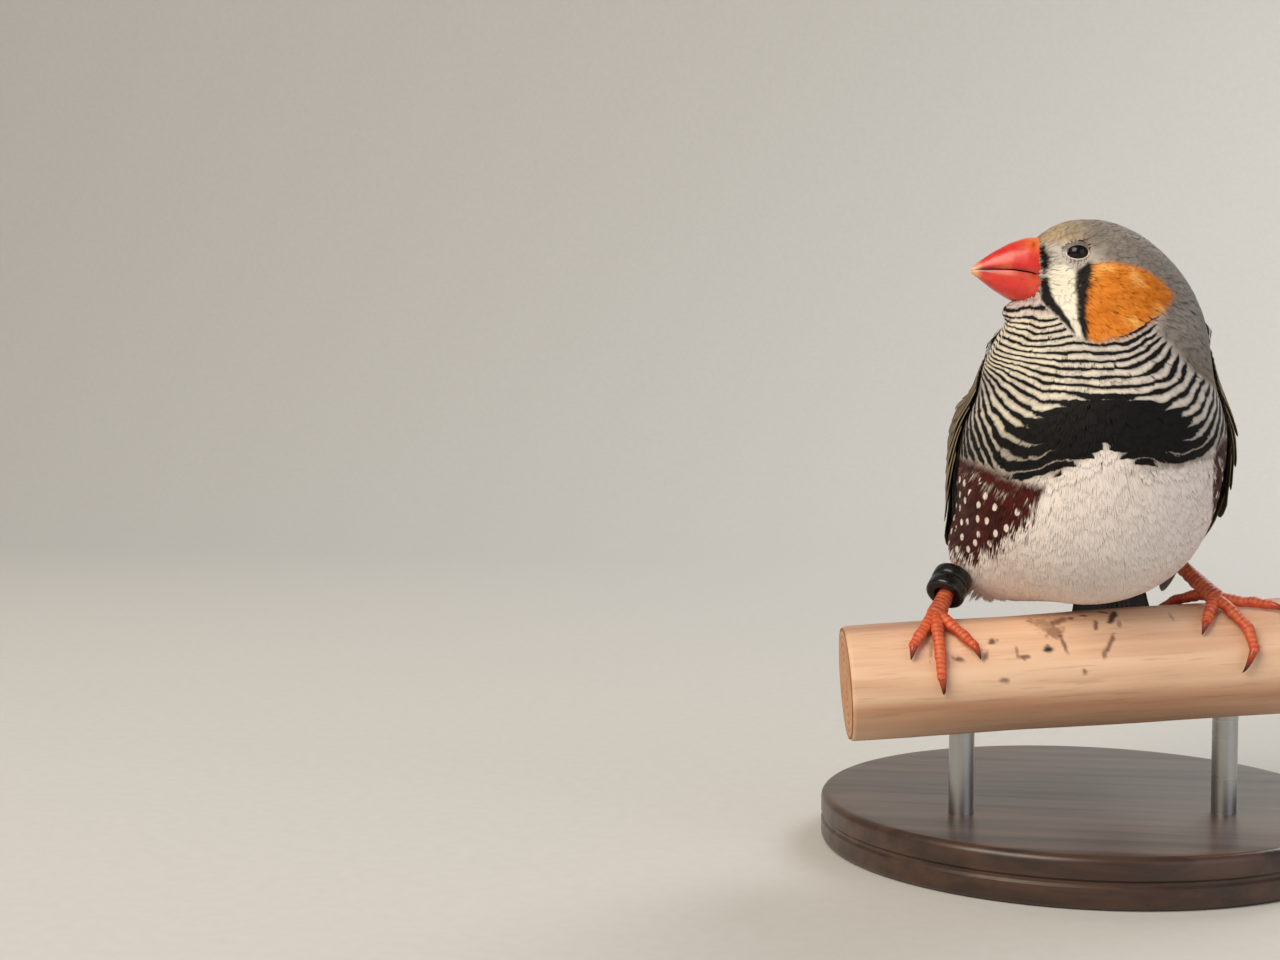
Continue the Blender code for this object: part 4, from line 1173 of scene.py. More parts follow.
class Skin:
    """The bare skin under the coat, one closed surface over body, neck and head."""

    def __init__(self, coat: Coat, plumage: Plumage) -> None:
        """Finds the skin by rays from a point inside the bird.

        Args:
            coat: the coat's outer surface.
            plumage: its markings.
        """
        self.coat, self.plumage = coat, plumage
        steps = SKIN_STEPS
        spread = np.tan(math.pi / 4 * (2 * np.arange(steps + 1) / steps - 1))
        first, second = (a.ravel() for a in np.meshgrid(spread, spread, indexing="ij"))
        ways, faces, maps = [], [], []
        for axis in range(3):
            for sign in (-1.0, 1.0):
                way = np.zeros((len(first), 3))
                way[:, axis], way[:, (axis + 1) % 3], way[:, (axis + 2) % 3] = sign, first, second
                quads = grid_faces(steps + 1, steps + 1, start=len(ways) * len(first))
                faces.append(quads if sign > 0 else quads[:, ::-1])
                ways.append(unit(way))
                turn = np.stack([np.arctan(first), np.arctan(second)], axis=1) / (math.pi / 2) + 0.5
                maps.append((np.array((axis, sign > 0)) + 0.03 + 0.94 * turn) / (3.0, 2.0))
        self.ways, self.faces, self.maps = np.concatenate(ways), np.concatenate(faces), np.concatenate(maps)
        reach = np.zeros(len(self.ways))
        for _ in range(SKIN_STRIDES):
            points = SKIN_START + self.ways * reach[:, None]
            reach += STRIDE * (-self.coat.depth(points) - self.coat.distance(points))
        self.points = SKIN_START + self.ways * reach[:, None]

    def build(self, material: Material) -> None:
        """Makes the skin in place of the solids of body, neck and head.

        Args:
            material: the finish.
        """
        _, unique, index = np.unique(np.round(self.ways, 6), axis=0, return_index=True, return_inverse=True)
        index = index.reshape(-1)
        points = self.points[unique]
        surface, _ = self.coat.settle(points, np.zeros(len(points)))
        paint = self.plumage.paint(surface)
        cloud = Cloud()
        # The map has seams between the cube's faces, so it is laid on the mesh face by face
        zeros = np.zeros((len(points), 3))
        zeros[:, 1] = 0.4
        # The skin carries the plumage's colours 8% darker, as painted shade for the gaps between the locks over
        # it
        cloud.add(points, index[self.faces], tint=paint.tint * 0.92, marks=paint.marks(), barb=zeros)
        obj = cloud.build("skin", material, Slot.PALE)
        layer = obj.data.uv_layers.new(name="OFBake")
        layer.data.foreach_set("uv", self.maps[self.faces.ravel()].astype(np.float32).ravel())
        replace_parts(obj, "torso", "neck", "head")

    def scatter(self, count: int, rng: np.random.Generator) -> Array:
        """Random places spread evenly over the skin.

        Args:
            count: how many.
            rng: the source of chance.

        Returns:
            The places.
        """
        a, b, c, d = (self.points[self.faces[:, k]] for k in range(4))
        area = np.linalg.norm(np.cross(c - a, d - b), axis=1)
        pick = rng.choice(len(area), count, p=area / area.sum())
        u, v = rng.random((2, count, 1))
        return (a[pick] * (1 - u) + b[pick] * u) * (1 - v) + (d[pick] * (1 - u) + c[pick] * u) * v


def thin_out(points: Array, spacing: float) -> Array:
    """Which points stay so that none lie closer than a spacing.

    Args:
        points: places in random order.
        spacing: the least distance.

    Returns:
        The numbers of the points that stay.
    """
    cells: dict[tuple[int, int, int], list[int]] = {}
    around = list(itertools.product((-1, 0, 1), repeat=3))
    keys = np.floor(points / spacing).astype(int).tolist()
    places = points.tolist()
    kept = []
    limit = spacing * spacing
    for number, (key, (x, y, z)) in enumerate(zip(keys, places)):
        cell = ((key[0] + dx, key[1] + dy, key[2] + dz) for dx, dy, dz in around)
        near = (places[i] for spot in cell for i in cells.get(spot, ()))
        if all((a - x) ** 2 + (b - y) ** 2 + (c - z) ** 2 >= limit for a, b, c in near):
            cells.setdefault(tuple(key), []).append(number)
            kept.append(number)
    return np.array(kept, int)


class BodyFeathers:
    """The coat of the body, neck and head."""

    def __init__(self, coat: Coat, plumage: Plumage, skin: Skin, bare: Callable[[Array], Array]) -> None:
        """Keeps what the feathers grow on.

        Args:
            coat: the coat's outer surface.
            plumage: its markings.
            skin: the skin.
            bare: says where no feather grows.
        """
        self.coat, self.plumage, self.skin, self.bare = coat, plumage, skin, bare
        self.rng = np.random.default_rng(SEED)
        places = skin.scatter(60000, self.rng)
        places = places[plumage.paint(coat.settle(places, np.zeros(len(places)))[0]).spot > 0.5]
        self.spots, _ = coat.settle(places[thin_out(places, SPOT_SPACING)], np.full(1, -0.1))

    @staticmethod
    def room(roots: Array) -> Array:
        """How long a feather may grow before its tip would cover the eye.

        Args:
            roots: where feathers grow.

        Returns:
            The greatest length of each.
        """
        local = to_cheek(roots)
        gap = np.hypot(local[:, 1] - EYE_PLACE[1], (local[:, 2] - EYE_PLACE[2]) / 0.72) - 2.2
        ahead = (local[:, 1] < EYE_PLACE[1] + 0.4) & (local[:, 0] > 3.5) & (gap < 3.0)
        return np.where(ahead, np.maximum(gap, 0.3), 99.0)

    def fans(self, tract: Tract, roots: Array, depth: Array, hang: Array) -> tuple[Array, ...]:
        """The shape of each feather's fan of locks before it is laid on the coat.

        Args:
            tract: the kind of feather.
            roots: where they grow.
            depth: how deep each starts.
            hang: how much each hangs free beside the ring.

        Returns:
            Each lock's place in its fan and its length, and how far its points lie forward, aside and up.
        """
        rng, count, fan = self.rng, len(roots), tract.locks
        size = 1 + rng.uniform(-0.14, 0.14, (count, 1))
        place = (np.arange(fan) + 0.5) / fan * 2 - 1 + rng.uniform(-0.4, 0.4, (count, fan)) / fan
        length = np.minimum(tract.length * size, self.room(roots)[:, None])
        length = length * (1 - 0.3 * place**2) * (1 + rng.uniform(-0.07, 0.07, (count, fan)))
        half = tract.width / 2 * size * (1.75 / fan) * rng.uniform(0.8, 1.15, (count, fan))
        bend = rng.normal(0, 0.05, (count, fan)) * tract.width
        stand = tract.lift * rng.random((count, fan)) ** 2 * 2
        along = np.broadcast_to(LOCK_STATIONS, (count, fan, 4))
        fanned = place[..., None] * tract.width / 2 * size[..., None] * (0.35 + 0.65 * along**0.8)
        fanned = fanned + bend[..., None] * along**2
        rise = -depth[:, None, None] * (1.02 - along) ** 2 + stand[..., None] * along**3
        rise = rise - 0.03 * place[..., None] ** 2 * tract.width
        rim = smooth(6.8, 5.4, np.linalg.norm(roots - BILL_ROOT, axis=1))[:, None] * rng.random((count, fan))
        rise = rise + 0.5 * rim[..., None] * (1 - along) + 3.0 * hang[..., None] * along**2
        ring = np.array((-1.0, 0.0, 1.0))
        edge = half[..., None, None] * LOCK_WIDTHS[None, None, :, None] * ring
        offset = fanned[..., None] + edge
        forward = np.broadcast_to((length[..., None] * along)[..., None], offset.shape)
        level = rise[..., None] + np.where(ring == 0, 0.25 * half[..., None, None] * LOCK_WIDTHS[:, None], 0.0)
        # A lock ends in one point, so its last row keeps only the middle
        keep = np.array([0, 1, 2, 3, 4, 5, 6, 7, 8, 10])
        offset, forward, level = (a.reshape(count, fan, 12)[..., keep] for a in (offset, forward, level))
        return place, length, forward, offset, level

    def from_spots(self, points: Array, side: Array, way: Array) -> Array:
        """How far points of locks on the flank lie from the white spot nearest their tip.

        Args:
            points: the points, ten to a lock.
            side: the direction across each feather.
            way: the direction along it.

        Returns:
            Distances across and along, and a third column that the caller fills in.
        """
        here = points.reshape(-1, LOCK_POINTS, 3)
        gaps = here[:, 8, None] - self.spots[None]
        nearest = self.spots[np.einsum("ijk,ijk->ij", gaps, gaps).argmin(axis=1)]
        gone = here - nearest[:, None]
        sides, ways = (np.repeat(a, len(here) // len(a), axis=0)[:, None] for a in (side, way))
        spot = np.stack([(gone * sides).sum(-1), (gone * ways).sum(-1), np.ones(gone.shape[:2])], axis=2)
        return spot.reshape(-1, 3)

    def locks(self, tract: Tract, roots: Array, lay: Callable | None = None) -> dict[str, Array]:
        """The locks of a tract's feathers.

        Args:
            tract: the kind of feather.
            roots: where they grow.
            lay: turns how far forward, aside and up each point lies into its place and the outward direction
                there; without it they lie on the coat.

        Returns:
            Points and layers, ten points to a lock.
        """
        rng, count, fan = self.rng, len(roots), tract.locks
        depth = self.coat.depth(roots)
        roots, normals = self.coat.settle(roots, -depth)
        way = self.coat.lie(roots, normals)
        # Beside the ring the thigh's feathers hang out in a point
        gone = roots - THIGH_TUFT
        hang = np.exp(-np.einsum("ij,ij->i", gone, gone) / 5.0)[:, None]
        way = unit(way + 3.0 * hang * unit(np.array((-0.75, -0.3, -0.75)) - way * 0.3))
        side = np.cross(way, normals)
        turn = np.radians(tract.spread) * rng.normal(0, 0.6, (count, 1))
        way, side = way * np.cos(turn) + side * np.sin(turn), side * np.cos(turn) - way * np.sin(turn)
        place, length, forward, offset, level = self.fans(tract, roots, depth, hang)
        if lay is None:
            points = roots[:, None, None] + way[:, None, None] * forward[..., None]
            points = points + side[:, None, None] * offset[..., None]
            points, out = self.coat.settle(points.reshape(-1, 3), level.ravel())
        else:
            points, out = lay(forward, offset, level)
            seen = points.reshape(count, fan, LOCK_POINTS, 3)[:, fan // 2]
            way = unit(seen[:, 9] - seen[:, 1])
            side = np.cross(way, unit(out.reshape(count, fan, LOCK_POINTS, 3)[:, fan // 2, 4]))
        # The crown stays under the top of the solids, without a flat on it
        over = np.maximum(points[:, 2] - HIGHEST + SOFT_TOP, 0.0)
        points[:, 2] -= over - SOFT_TOP * (1 - np.exp(-over / SOFT_TOP))
        lean = np.array((-0.24, 0.0, 0.24) * 3 + (0.0,))
        normal = out + (side[:, None, None] * lean[:, None]).repeat(fan, axis=1).reshape(-1, 3)
        paint = self.plumage.paint(points)
        # A lock keeps the colour of its root for part of its length, so fields meet in ragged edges
        back = tract.ragged * length * rng.random((count, fan))
        moved = points.reshape(count, fan, LOCK_POINTS, 3) - way[:, None, None] * back[..., None, None]
        rooted = self.plumage.paint(moved.reshape(-1, 3))
        tone = 1 + tract.contrast * rng.normal(0, 1, (count, fan, 1))
        tone = tone + 0.4 * tract.contrast * rng.normal(0, 1, (count, 1, 1))
        station = LOCK_STATIONS[[0, 0, 0, 1, 1, 1, 2, 2, 2, 3]]
        stretch = np.broadcast_to(station, (count, fan, LOCK_POINTS)).reshape(-1)
        # Each lock darkens towards its root: partly the grey down at a real feather's base, partly painted shade
        # where it lies under the locks above it
        tone = (tone * np.ones((1, 1, LOCK_POINTS))).reshape(-1, 1) * (0.88 + 0.12 * stretch)[:, None]
        marks = paint.marks()
        marks[:, 0] += np.repeat(rng.normal(0, 0.035, count), fan * LOCK_POINTS)
        marks[:, 1] *= 1 - rooted.spot
        spot = np.zeros_like(points)
        if tract.zone is Zone.FLANK:
            spot = self.from_spots(points, side, way)
            spot[:, 2] = rooted.spot > 0.5
        across = (place[..., None] + np.array((-0.5, 0, 0.5) * 3 + (0,)) * 1.4 / fan).reshape(-1)
        chance = np.repeat(rng.random((count, fan)).ravel(), LOCK_POINTS)
        patch = PATCH * np.stack([across, stretch * 2 - 1], axis=1)
        patch = np.repeat(cube_place(roots), fan * LOCK_POINTS, axis=0) + patch
        return {"points": points, "normal": normal, "tint": rooted.tint * tone, "marks": marks, "spot": spot,
                "barb": np.stack([across, stretch, chance], axis=1), "patch": patch}

    def build(self, material: Material) -> None:
        """Grows every tract and makes its pieces.

        Args:
            material: the finish.
        """
        share = 1.0
        for tract in TRACTS:
            spacing = tract.spacing / math.sqrt(share)
            wanted = int(COAT_AREA / spacing**2) * TRIES
            places = self.skin.scatter(wanted, self.rng)
            surface, _ = self.coat.settle(places, np.zeros(len(places)))
            zone = self.plumage.paint(surface).zone
            places = places[(zone == tract.zone.value) & ~self.bare(surface)]
            roots = places[thin_out(places, spacing)]
            batch = MOST_LOCKS // tract.locks
            parts = math.ceil(len(roots) / batch)
            order = np.argsort(roots[:, 2])
            for number, chosen in enumerate(np.array_split(order, parts)):
                self.make(f"coat_{tract.zone.name.lower()}_{number + 1}", material, tract.slot,
                          self.locks(tract, roots[chosen]))

    def make(self, name: str, material: Material, slot: Slot, layers: dict[str, Array]) -> None:
        """Makes one piece of locks.

        Args:
            name: its name.
            material: its finish.
            slot: its slot.
            layers: its points and layers.
        """
        points = layers.pop("points")
        starts = np.arange(len(points) // 10)[:, None, None] * 10
        cloud = Cloud()
        cloud.add(points, (LOCK_FACES[None] + starts).reshape(-1, 4), **layers)
        cloud.build(name, material, slot)

    def scapulars(self, wing: "Wing", material: Material) -> None:
        """Grows the soft feathers of the shoulder, which lie over the wing's upper edge.

        Args:
            wing: the wing.
            material: the finish.
        """
        tract = Tract(Zone.MANTLE, Slot.GREY, 1.1, 5.6, 2.6, 11, 0.1, 8.0, 0.05)
        spots = self.rng.random((12000, 2)) * (30.0, 18.0) + (-4.5, 3.5)
        low, high = at(SHOULDER_LOW, spots[:, 0]), at(SHOULDER_HIGH, spots[:, 0])
        spots = spots[(spots[:, 1] > low) & (spots[:, 1] < high)]
        spots = spots[thin_out(np.pad(spots, ((0, 0), (0, 1))), tract.spacing)]
        heading = np.radians(-30.0) + self.rng.normal(0, 0.1, len(spots))
        way = np.stack([np.cos(heading), np.sin(heading)], axis=1)
        tip = spots + way * tract.length
        over = tip[:, 1] - np.maximum(at(WING_UPPER, tip[:, 0]), 18.0 - np.maximum(tip[:, 0] - 14.0, 0.0))
        lift = 0.25 + 1.75 * smooth(1.6, -0.8, over) * smooth(-4.0, 2.0, tip[:, 0])

        def lay(forward: Array, offset: Array, level: Array) -> tuple[Array, Array]:
            """Lays the locks' points over the wing's surface.

            Args:
                forward: how far each lies along its feather.
                offset: how far aside.
                level: how far up.

            Returns:
                Their places and the outward directions there.
            """
            share = forward / tract.length
            flat = spots[:, None, None] + way[:, None, None] * forward[..., None]
            square = wing.side * np.stack([way[:, 1], -way[:, 0]], axis=1)
            flat = flat + square[:, None, None] * offset[..., None]
            height = 0.5 * level + lift[:, None, None] * smooth(0.0, 0.75, share)
            rows = np.concatenate([flat, height[..., None]], axis=-1).reshape(-1, 3)
            points = wing.surface(rows)
            down, across = (wing.surface(rows + step) - points for step in ((0.2, 0.0, 0.0), (0.0, 0.2, 0.0)))
            return points, unit(wing.side * np.cross(down, across))

        roots = wing.surface(np.pad(spots, ((0, 0), (0, 1))))
        word = "left" if wing.side > 0 else "right"
        self.make(f"coat_scapular_{word}", material, tract.slot, self.locks(tract, roots, lay))


# Wings and tail, feather by feather

Surface = Callable[[Array], Array]


@dataclass(frozen=True)
class Vane:
    """A stiff feather: where it lies on its surface (along, across), its width, heights, tip and bars."""

    root: tuple[float, float]
    tip: tuple[float, float]
    width: float
    low: tuple[float, float]
    tilt: float = 0.3
    blunt: float = 0.72
    tint: str = "#6B5C40"
    bar_share: float = 0.0
    bar_pitch: float = 2.0
    thick: float = 0.12

    def add_to(self, cloud: Cloud, surface: Surface, rng: np.random.Generator) -> None:
        """Adds the feather to a mesh.

        Args:
            cloud: the mesh in the making.
            surface: turns (along, across, height) rows into points of the bird.
            rng: the source of chance.
        """
        rows, columns = 13, 7
        share = 1 - (1 - np.linspace(0, 1, rows)) ** 1.5
        across = np.linspace(-1, 1, columns)
        root, tip = np.array(self.root), np.array(self.tip)
        length = np.linalg.norm(tip - root)
        way = (tip - root) / length
        over = np.array((-way[1], way[0]))
        body = 0.5 + 0.5 * smooth(0.0, 0.3, share)
        end = np.sqrt(np.maximum(1 - (np.maximum(share - self.blunt, 0) / (1 - self.blunt)) ** 2.2, 0.004))
        half = self.width / 2 * body * end * (1 + rng.uniform(-0.02, 0.02, rows))
        place = root + (tip - root) * share[:, None]
        spots = place[:, None] + over * (half[:, None] * across)[..., None]
        height = self.low[0] + (self.low[1] - self.low[0]) * share
        height = height[:, None] + self.tilt * (0.5 - 0.5 * across) * half[:, None] / (self.width / 2)
        height = height - 0.1 * self.width * 0.3 * across**2
        ridge = 0.07 * (np.abs(across) < 0.1) * (1 - share)[:, None]
        grid = np.concatenate([spots, height[..., None]], axis=2)
        top = grid.copy()
        top[..., 2] += self.thick * (0.35 + 0.65 * (1 - share)[:, None] ** 0.5) + ridge
        points = surface(np.concatenate([grid.reshape(-1, 3), top.reshape(-1, 3)]))
        count = rows * columns
        faces = [grid_faces(rows, columns), grid_faces(rows, columns, start=count)[:, ::-1]]
        rim = list(range(columns)) + [i * columns + columns - 1 for i in range(1, rows)]
        rim += list(range(count - 2, count - columns - 1, -1)) + [i * columns for i in range(rows - 2, 0, -1)]
        ring = np.array(rim)
        after = np.roll(ring, -1)
        faces.append(np.stack([ring, ring + count, after + count, after], axis=1))
        along = np.tile(np.repeat(share, columns), 2)
        side = np.tile(np.tile(across, rows), 2)
        chance = np.full(2 * count, rng.random())
        tint = linear(self.tint) * (1 + 0.1 * rng.normal())
        tints = np.tile(tint, (2 * count, 1)) * (0.8 + 0.2 * along)[:, None]
        phase = np.tile(spots[..., 0].ravel(), 2) / self.bar_pitch - 0.12 * np.abs(side)
        marks = np.stack([phase, np.full(2 * count, self.bar_share), np.zeros(2 * count)], axis=1)
        patch = cube_place(points.mean(axis=0)[None]) + PATCH * np.stack([side, along * 2 - 1], axis=1)
        quads = np.concatenate(faces)
        corners = points[quads]
        volume = np.einsum("ij,ij->i", corners[:, 0], np.cross(corners[:, 1], corners[:, 2])).sum()
        volume += np.einsum("ij,ij->i", corners[:, 0], np.cross(corners[:, 2], corners[:, 3])).sum()
        cloud.add(points, quads if volume > 0 else quads[:, ::-1], tint=tints, marks=marks,
                  barb=np.stack([side, along, chance], axis=1), patch=patch)


@dataclass(frozen=True)
class Tier:
    """A row of vanes between a first and a last one."""

    count: int
    roots: tuple[tuple[float, float], tuple[float, float]]
    tips: tuple[tuple[float, float], tuple[float, float]]
    widths: tuple[float, float]
    root_low: tuple[float, float]
    tip_low: tuple[float, float]
    bow: float = 0.0
    blunt: float = 0.72
    tint: str = "#6B5C40"

    def vanes(self, rng: np.random.Generator) -> list[Vane]:
        """The tier's feathers, a little uneven.

        Args:
            rng: the source of chance.

        Returns:
            The vanes in order.
        """
        made = []
        for k in range(self.count):
            share = k / max(self.count - 1, 1)
            root, tip = (tuple(np.array(first) * (1 - share) + np.array(last) * share)
                         for first, last in (self.roots, self.tips))
            tip = (tip[0] + self.bow * math.sin(math.pi * min(share * 1.6, 1.0)) + rng.normal(0, 0.15), tip[1])
            low = tuple(first * (1 - share) + last * share + 0.013 * (k % 4)
                        for first, last in (self.root_low, self.tip_low))
            width = self.widths[0] * (1 - share) + self.widths[1] * share
            made.append(Vane(root, tip, width, low, 0.3, self.blunt, self.tint))
        return made


WING_DROP = math.radians(41.5)
WING_START = np.array((0.0, -2.0, 36.0))
WING_ALONG = np.array((0.0, math.cos(WING_DROP), -math.sin(WING_DROP)))
WING_OVER = np.array((0.0, math.sin(WING_DROP), math.cos(WING_DROP)))
WING_ROUND = 18.0
WING_WRAP = 0.75
WING_BLADE = {
    1: ((-6.0, 8.0), (0.0, 12.5), (7.0, 18.6), (14.0, 19.7), (22.0, 18.6), (34.0, 16.2), (56.0, 13.0)),
    -1: ((-6.0, 8.0), (0.0, 12.5), (7.0, 19.2), (14.0, 20.9), (24.0, 20.8), (34.0, 18.0), (56.0, 14.0)),
}
WING_LOWER = ((1.0, -5.0), (6.0, -9.5), (12.0, -11.0), (24.0, -9.5), (40.0, -6.0), (53.0, -2.0))
SHOULDER_LOW = ((-4.0, 11.0), (2.0, 10.0), (8.0, 10.5), (14.0, 13.5), (25.0, 12.0))
SHOULDER_HIGH = ((-4.0, 17.0), (2.0, 19.5), (8.0, 21.0), (14.0, 21.5), (25.0, 18.5))
WING_UPPER = ((1.0, 3.0), (6.0, 12.0), (14.0, 17.5), (28.0, 15.5), (40.0, 8.0), (53.0, -0.5))
FLIGHT_TINT, COVERT_TINT = "#564A38", "#6D614B"
WING_TIERS = (
    Tier(7, ((27.0, -7.0), (26.0, -1.0)), ((50.0, -5.0), (41.5, 1.6)),
         (3.9, 4.6), (0.42, 0.62), (0.4, 0.6), 2.6, 0.6, FLIGHT_TINT),
    Tier(8, ((13.0, -8.6), (12.0, 0.8)), ((38.5, -7.4), (34.5, 3.0)),
         (3.4, 4.4), (0.62, 0.68), (0.55, 0.72), 0.6, 0.7, FLIGHT_TINT),
    Tier(3, ((10.0, 4.0), (9.0, 9.5)), ((35.5, 6.0), (27.0, 12.5)),
         (5.6, 6.6), (0.72, 0.84), (0.82, 0.96), 0.4, 0.66, FLIGHT_TINT),
    Tier(10, ((5.5, -7.4), (5.0, 7.2)), ((18.8, -9.0), (16.8, 9.4)),
         (3.0, 3.5), (0.7, 0.72), (1.2, 1.3), 0.5, 0.72, COVERT_TINT),
    Tier(9, ((2.6, -5.4), (3.0, 7.6)), ((12.2, -8.6), (11.6, 9.2)),
         (2.9, 3.2), (0.62, 0.62), (1.55, 1.62), 0.4, 0.7, COVERT_TINT),
    Tier(8, ((0.4, -4.0), (0.8, 6.4)), ((8.4, -7.4), (8.0, 8.2)),
         (2.5, 2.8), (0.5, 0.5), (1.72, 1.78), 0.3, 0.68, "#776A54"),
    Tier(7, ((-1.6, -2.6), (-1.4, 5.0)), ((4.8, -5.2), (4.8, 6.6)),
         (2.3, 2.5), (0.4, 0.4), (1.75, 1.8), 0.2, 0.68, "#7A6E5A"),
    Tier(6, ((3.0, 7.5), (6.5, 15.5)), ((17.5, 11.0), (21.0, 16.8)),
         (4.2, 4.8), (0.68, 0.62), (1.62, 1.2), 0.3, 0.7, "#75685A"),
)


@dataclass(frozen=True)
class Wing:
    """A folded wing laid along the coat."""

    coat: Coat
    side: int

    def surface(self, spots: Array) -> Array:
        """Points of the wing from rows of (down the back, round from the side, height over the coat).

        Args:
            spots: the rows.

        Returns:
            The points.
        """
        spots = np.asarray(spots, float)
        turn = np.clip(spots[:, 1] / WING_ROUND, -1.0, 1.6)
        outward = np.outer(np.cos(turn), (self.side, 0.0, 0.0)) + np.outer(np.sin(turn), WING_OVER)
        start = WING_START + np.outer(spots[:, 0], WING_ALONG)
        reach = np.full(len(spots), 42.0)
        for _ in range(WING_STRIDES):
            outside = self.coat.distance(start + outward * reach[:, None])
            reach = np.maximum(reach - STRIDE * outside, 0.0)
        blade = at(WING_BLADE[self.side], spots[:, 0]) / np.cos(np.minimum(turn, 0.0))
        wrap = np.clip(turn / WING_WRAP, 0.0, 1.0)
        blade = blade * (1.0 - 0.55 * wrap * wrap * (3.0 - 2.0 * wrap))
        soft = 2.0
        share = np.clip(0.5 + 0.5 * (blade - reach) / soft, 0.0, 1.0)
        reach = reach * (1 - share) + blade * share + soft * share * (1 - share)
        return start + outward * (reach + spots[:, 2])[:, None]

    def covers(self, points: Array) -> Array:
        """Which points of the coat lie under the wing, well in from its edges.

        Args:
            points: places in millimetres, one a row.

        Returns:
            True where one does.
        """
        local = points - WING_START
        down = local @ WING_ALONG
        turn = np.arctan2(local @ WING_OVER, self.side * local[:, 0])
        round_way = turn * WING_ROUND
        inside_rim = (round_way > at(WING_LOWER, down) + 3.0) & (round_way < at(WING_UPPER, down) - 3.0)
        return inside_rim & (down > 4.5) & (down < 36.0)

    def build(self, material: Material) -> None:
        """Makes the wing in place of its solid.

        Args:
            material: the finish.
        """
        word = "left" if self.side > 0 else "right"
        rng = np.random.default_rng(SEED + self.side)
        cloud = Cloud()
        for k in range(9):
            share = k / 8
            start, end = 2.0 + 1.0 * share, 31.0 - 4.0 * share
            low, high = at(WING_LOWER, 14.0) + 2.5, at(WING_UPPER, 14.0) - 3.0
            across = low + (high - low) * share
            under = Vane((start, across * 0.55), (end, across * 0.9), 4.6, (0.12, 0.2), 0.1, 0.8, "#3A3226")
            under.add_to(cloud, self.surface, rng)
        for tier in WING_TIERS:
            for vane in tier.vanes(rng):
                vane.add_to(cloud, self.surface, rng)
        obj = cloud.build(f"wing_{word}_feathers", material, Slot.BROWN)
        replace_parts(obj, f"wing_{word}")


@dataclass(frozen=True)
class Tail:
    """The closed tail with its coverts."""

    root: tuple[float, float, float] = (4.4, 22.0, 10.5)
    length: float = 35.0
    drop: float = 38.0
    yaw: float = 7.0
    pairs: int = 6

    def surface(self, spots: Array) -> Array:
        """Points of the bird from rows of (back along the tail, aside, height).

        Args:
            spots: the rows.

        Returns:
            The points.
        """
        spots = np.asarray(spots, float)
        sag = spots[:, 2] - 0.035 * spots[:, 1] ** 2
        local = np.stack([spots[:, 1], spots[:, 0], sag], axis=1)
        turn = Matrix.Rotation(math.radians(-self.yaw), 3, "Z")
        turn = turn @ Matrix.Rotation(math.radians(-self.drop), 3, "X")
        return np.array(self.root) + local @ np.array(turn).T

    def build(self, material: Material) -> None:
        """Makes the tail in place of its solid.

        Args:
            material: the finish.
        """
        rng = np.random.default_rng(SEED + 7)
        cloud = Cloud()
        for k in range(self.pairs):
            for side in (-1, 1):
                drop = 0.2 * k + (0.1 if side < 0 else 0.0)
                tip = (self.length - 0.55 * k - 0.12 * k * k, side * (0.9 + 0.95 * k))
                root = (2.0 + 0.3 * k, side * (0.5 + 0.42 * k))
                vane = Vane(root, tip, 4.6 - 0.1 * k, (0.3 - drop, 0.65 - drop), 0.3 * side, 0.8, "#231C18")
                vane.add_to(cloud, self.surface, rng)
        core = [Vane((-3.0, aside), (17.0, aside * 1.3), 3.6, (low, low * 0.4), 0.1, 0.8, "#2A221D")
                for low in (-1.4, -0.6, 0.2) for aside in (-2.0, 0.0, 2.0)]
        for vane in core:
            vane.add_to(cloud, self.surface, rng)
        # The long upper coverts are black with broad white bars, as the cock's are
        for row, (reach, count) in enumerate(((17.5, 5), (14.0, 6), (10.5, 5), (7.0, 5))):
            for k in range(count):
                aside = (k / (count - 1) - 0.5) * (7.4 + 0.6 * row)
                tip = (reach - 0.12 * aside * aside + rng.normal(0, 0.3), aside)
                low = 0.85 + 0.28 * row
                root, levels = (-3.0 - row, aside * 0.6), (low - 0.3, low)
                vane = Vane(root, tip, 3.1, levels, 0.12, 0.74, "#E9E1D8", 0.56, 3.4)
                vane.add_to(cloud, self.surface, rng)
        for row, reach in enumerate((15.0, 11.5, 8.0)):
            for k in range(5):
                aside = (k / 4 - 0.5) * 7.0
                tip = (reach - 0.1 * aside * aside, aside)
                low = -1.9 - 0.3 * row
                vane = Vane((-3.0 - row, aside * 0.6), tip, 3.0, (low, low), 0.1, 0.72, "#E8DFD6")
                vane.add_to(cloud, self.surface, rng)
        obj = cloud.build("tail_feathers", material, Slot.BLACK)
        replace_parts(obj, "tail")


# Bill, eyes and lids


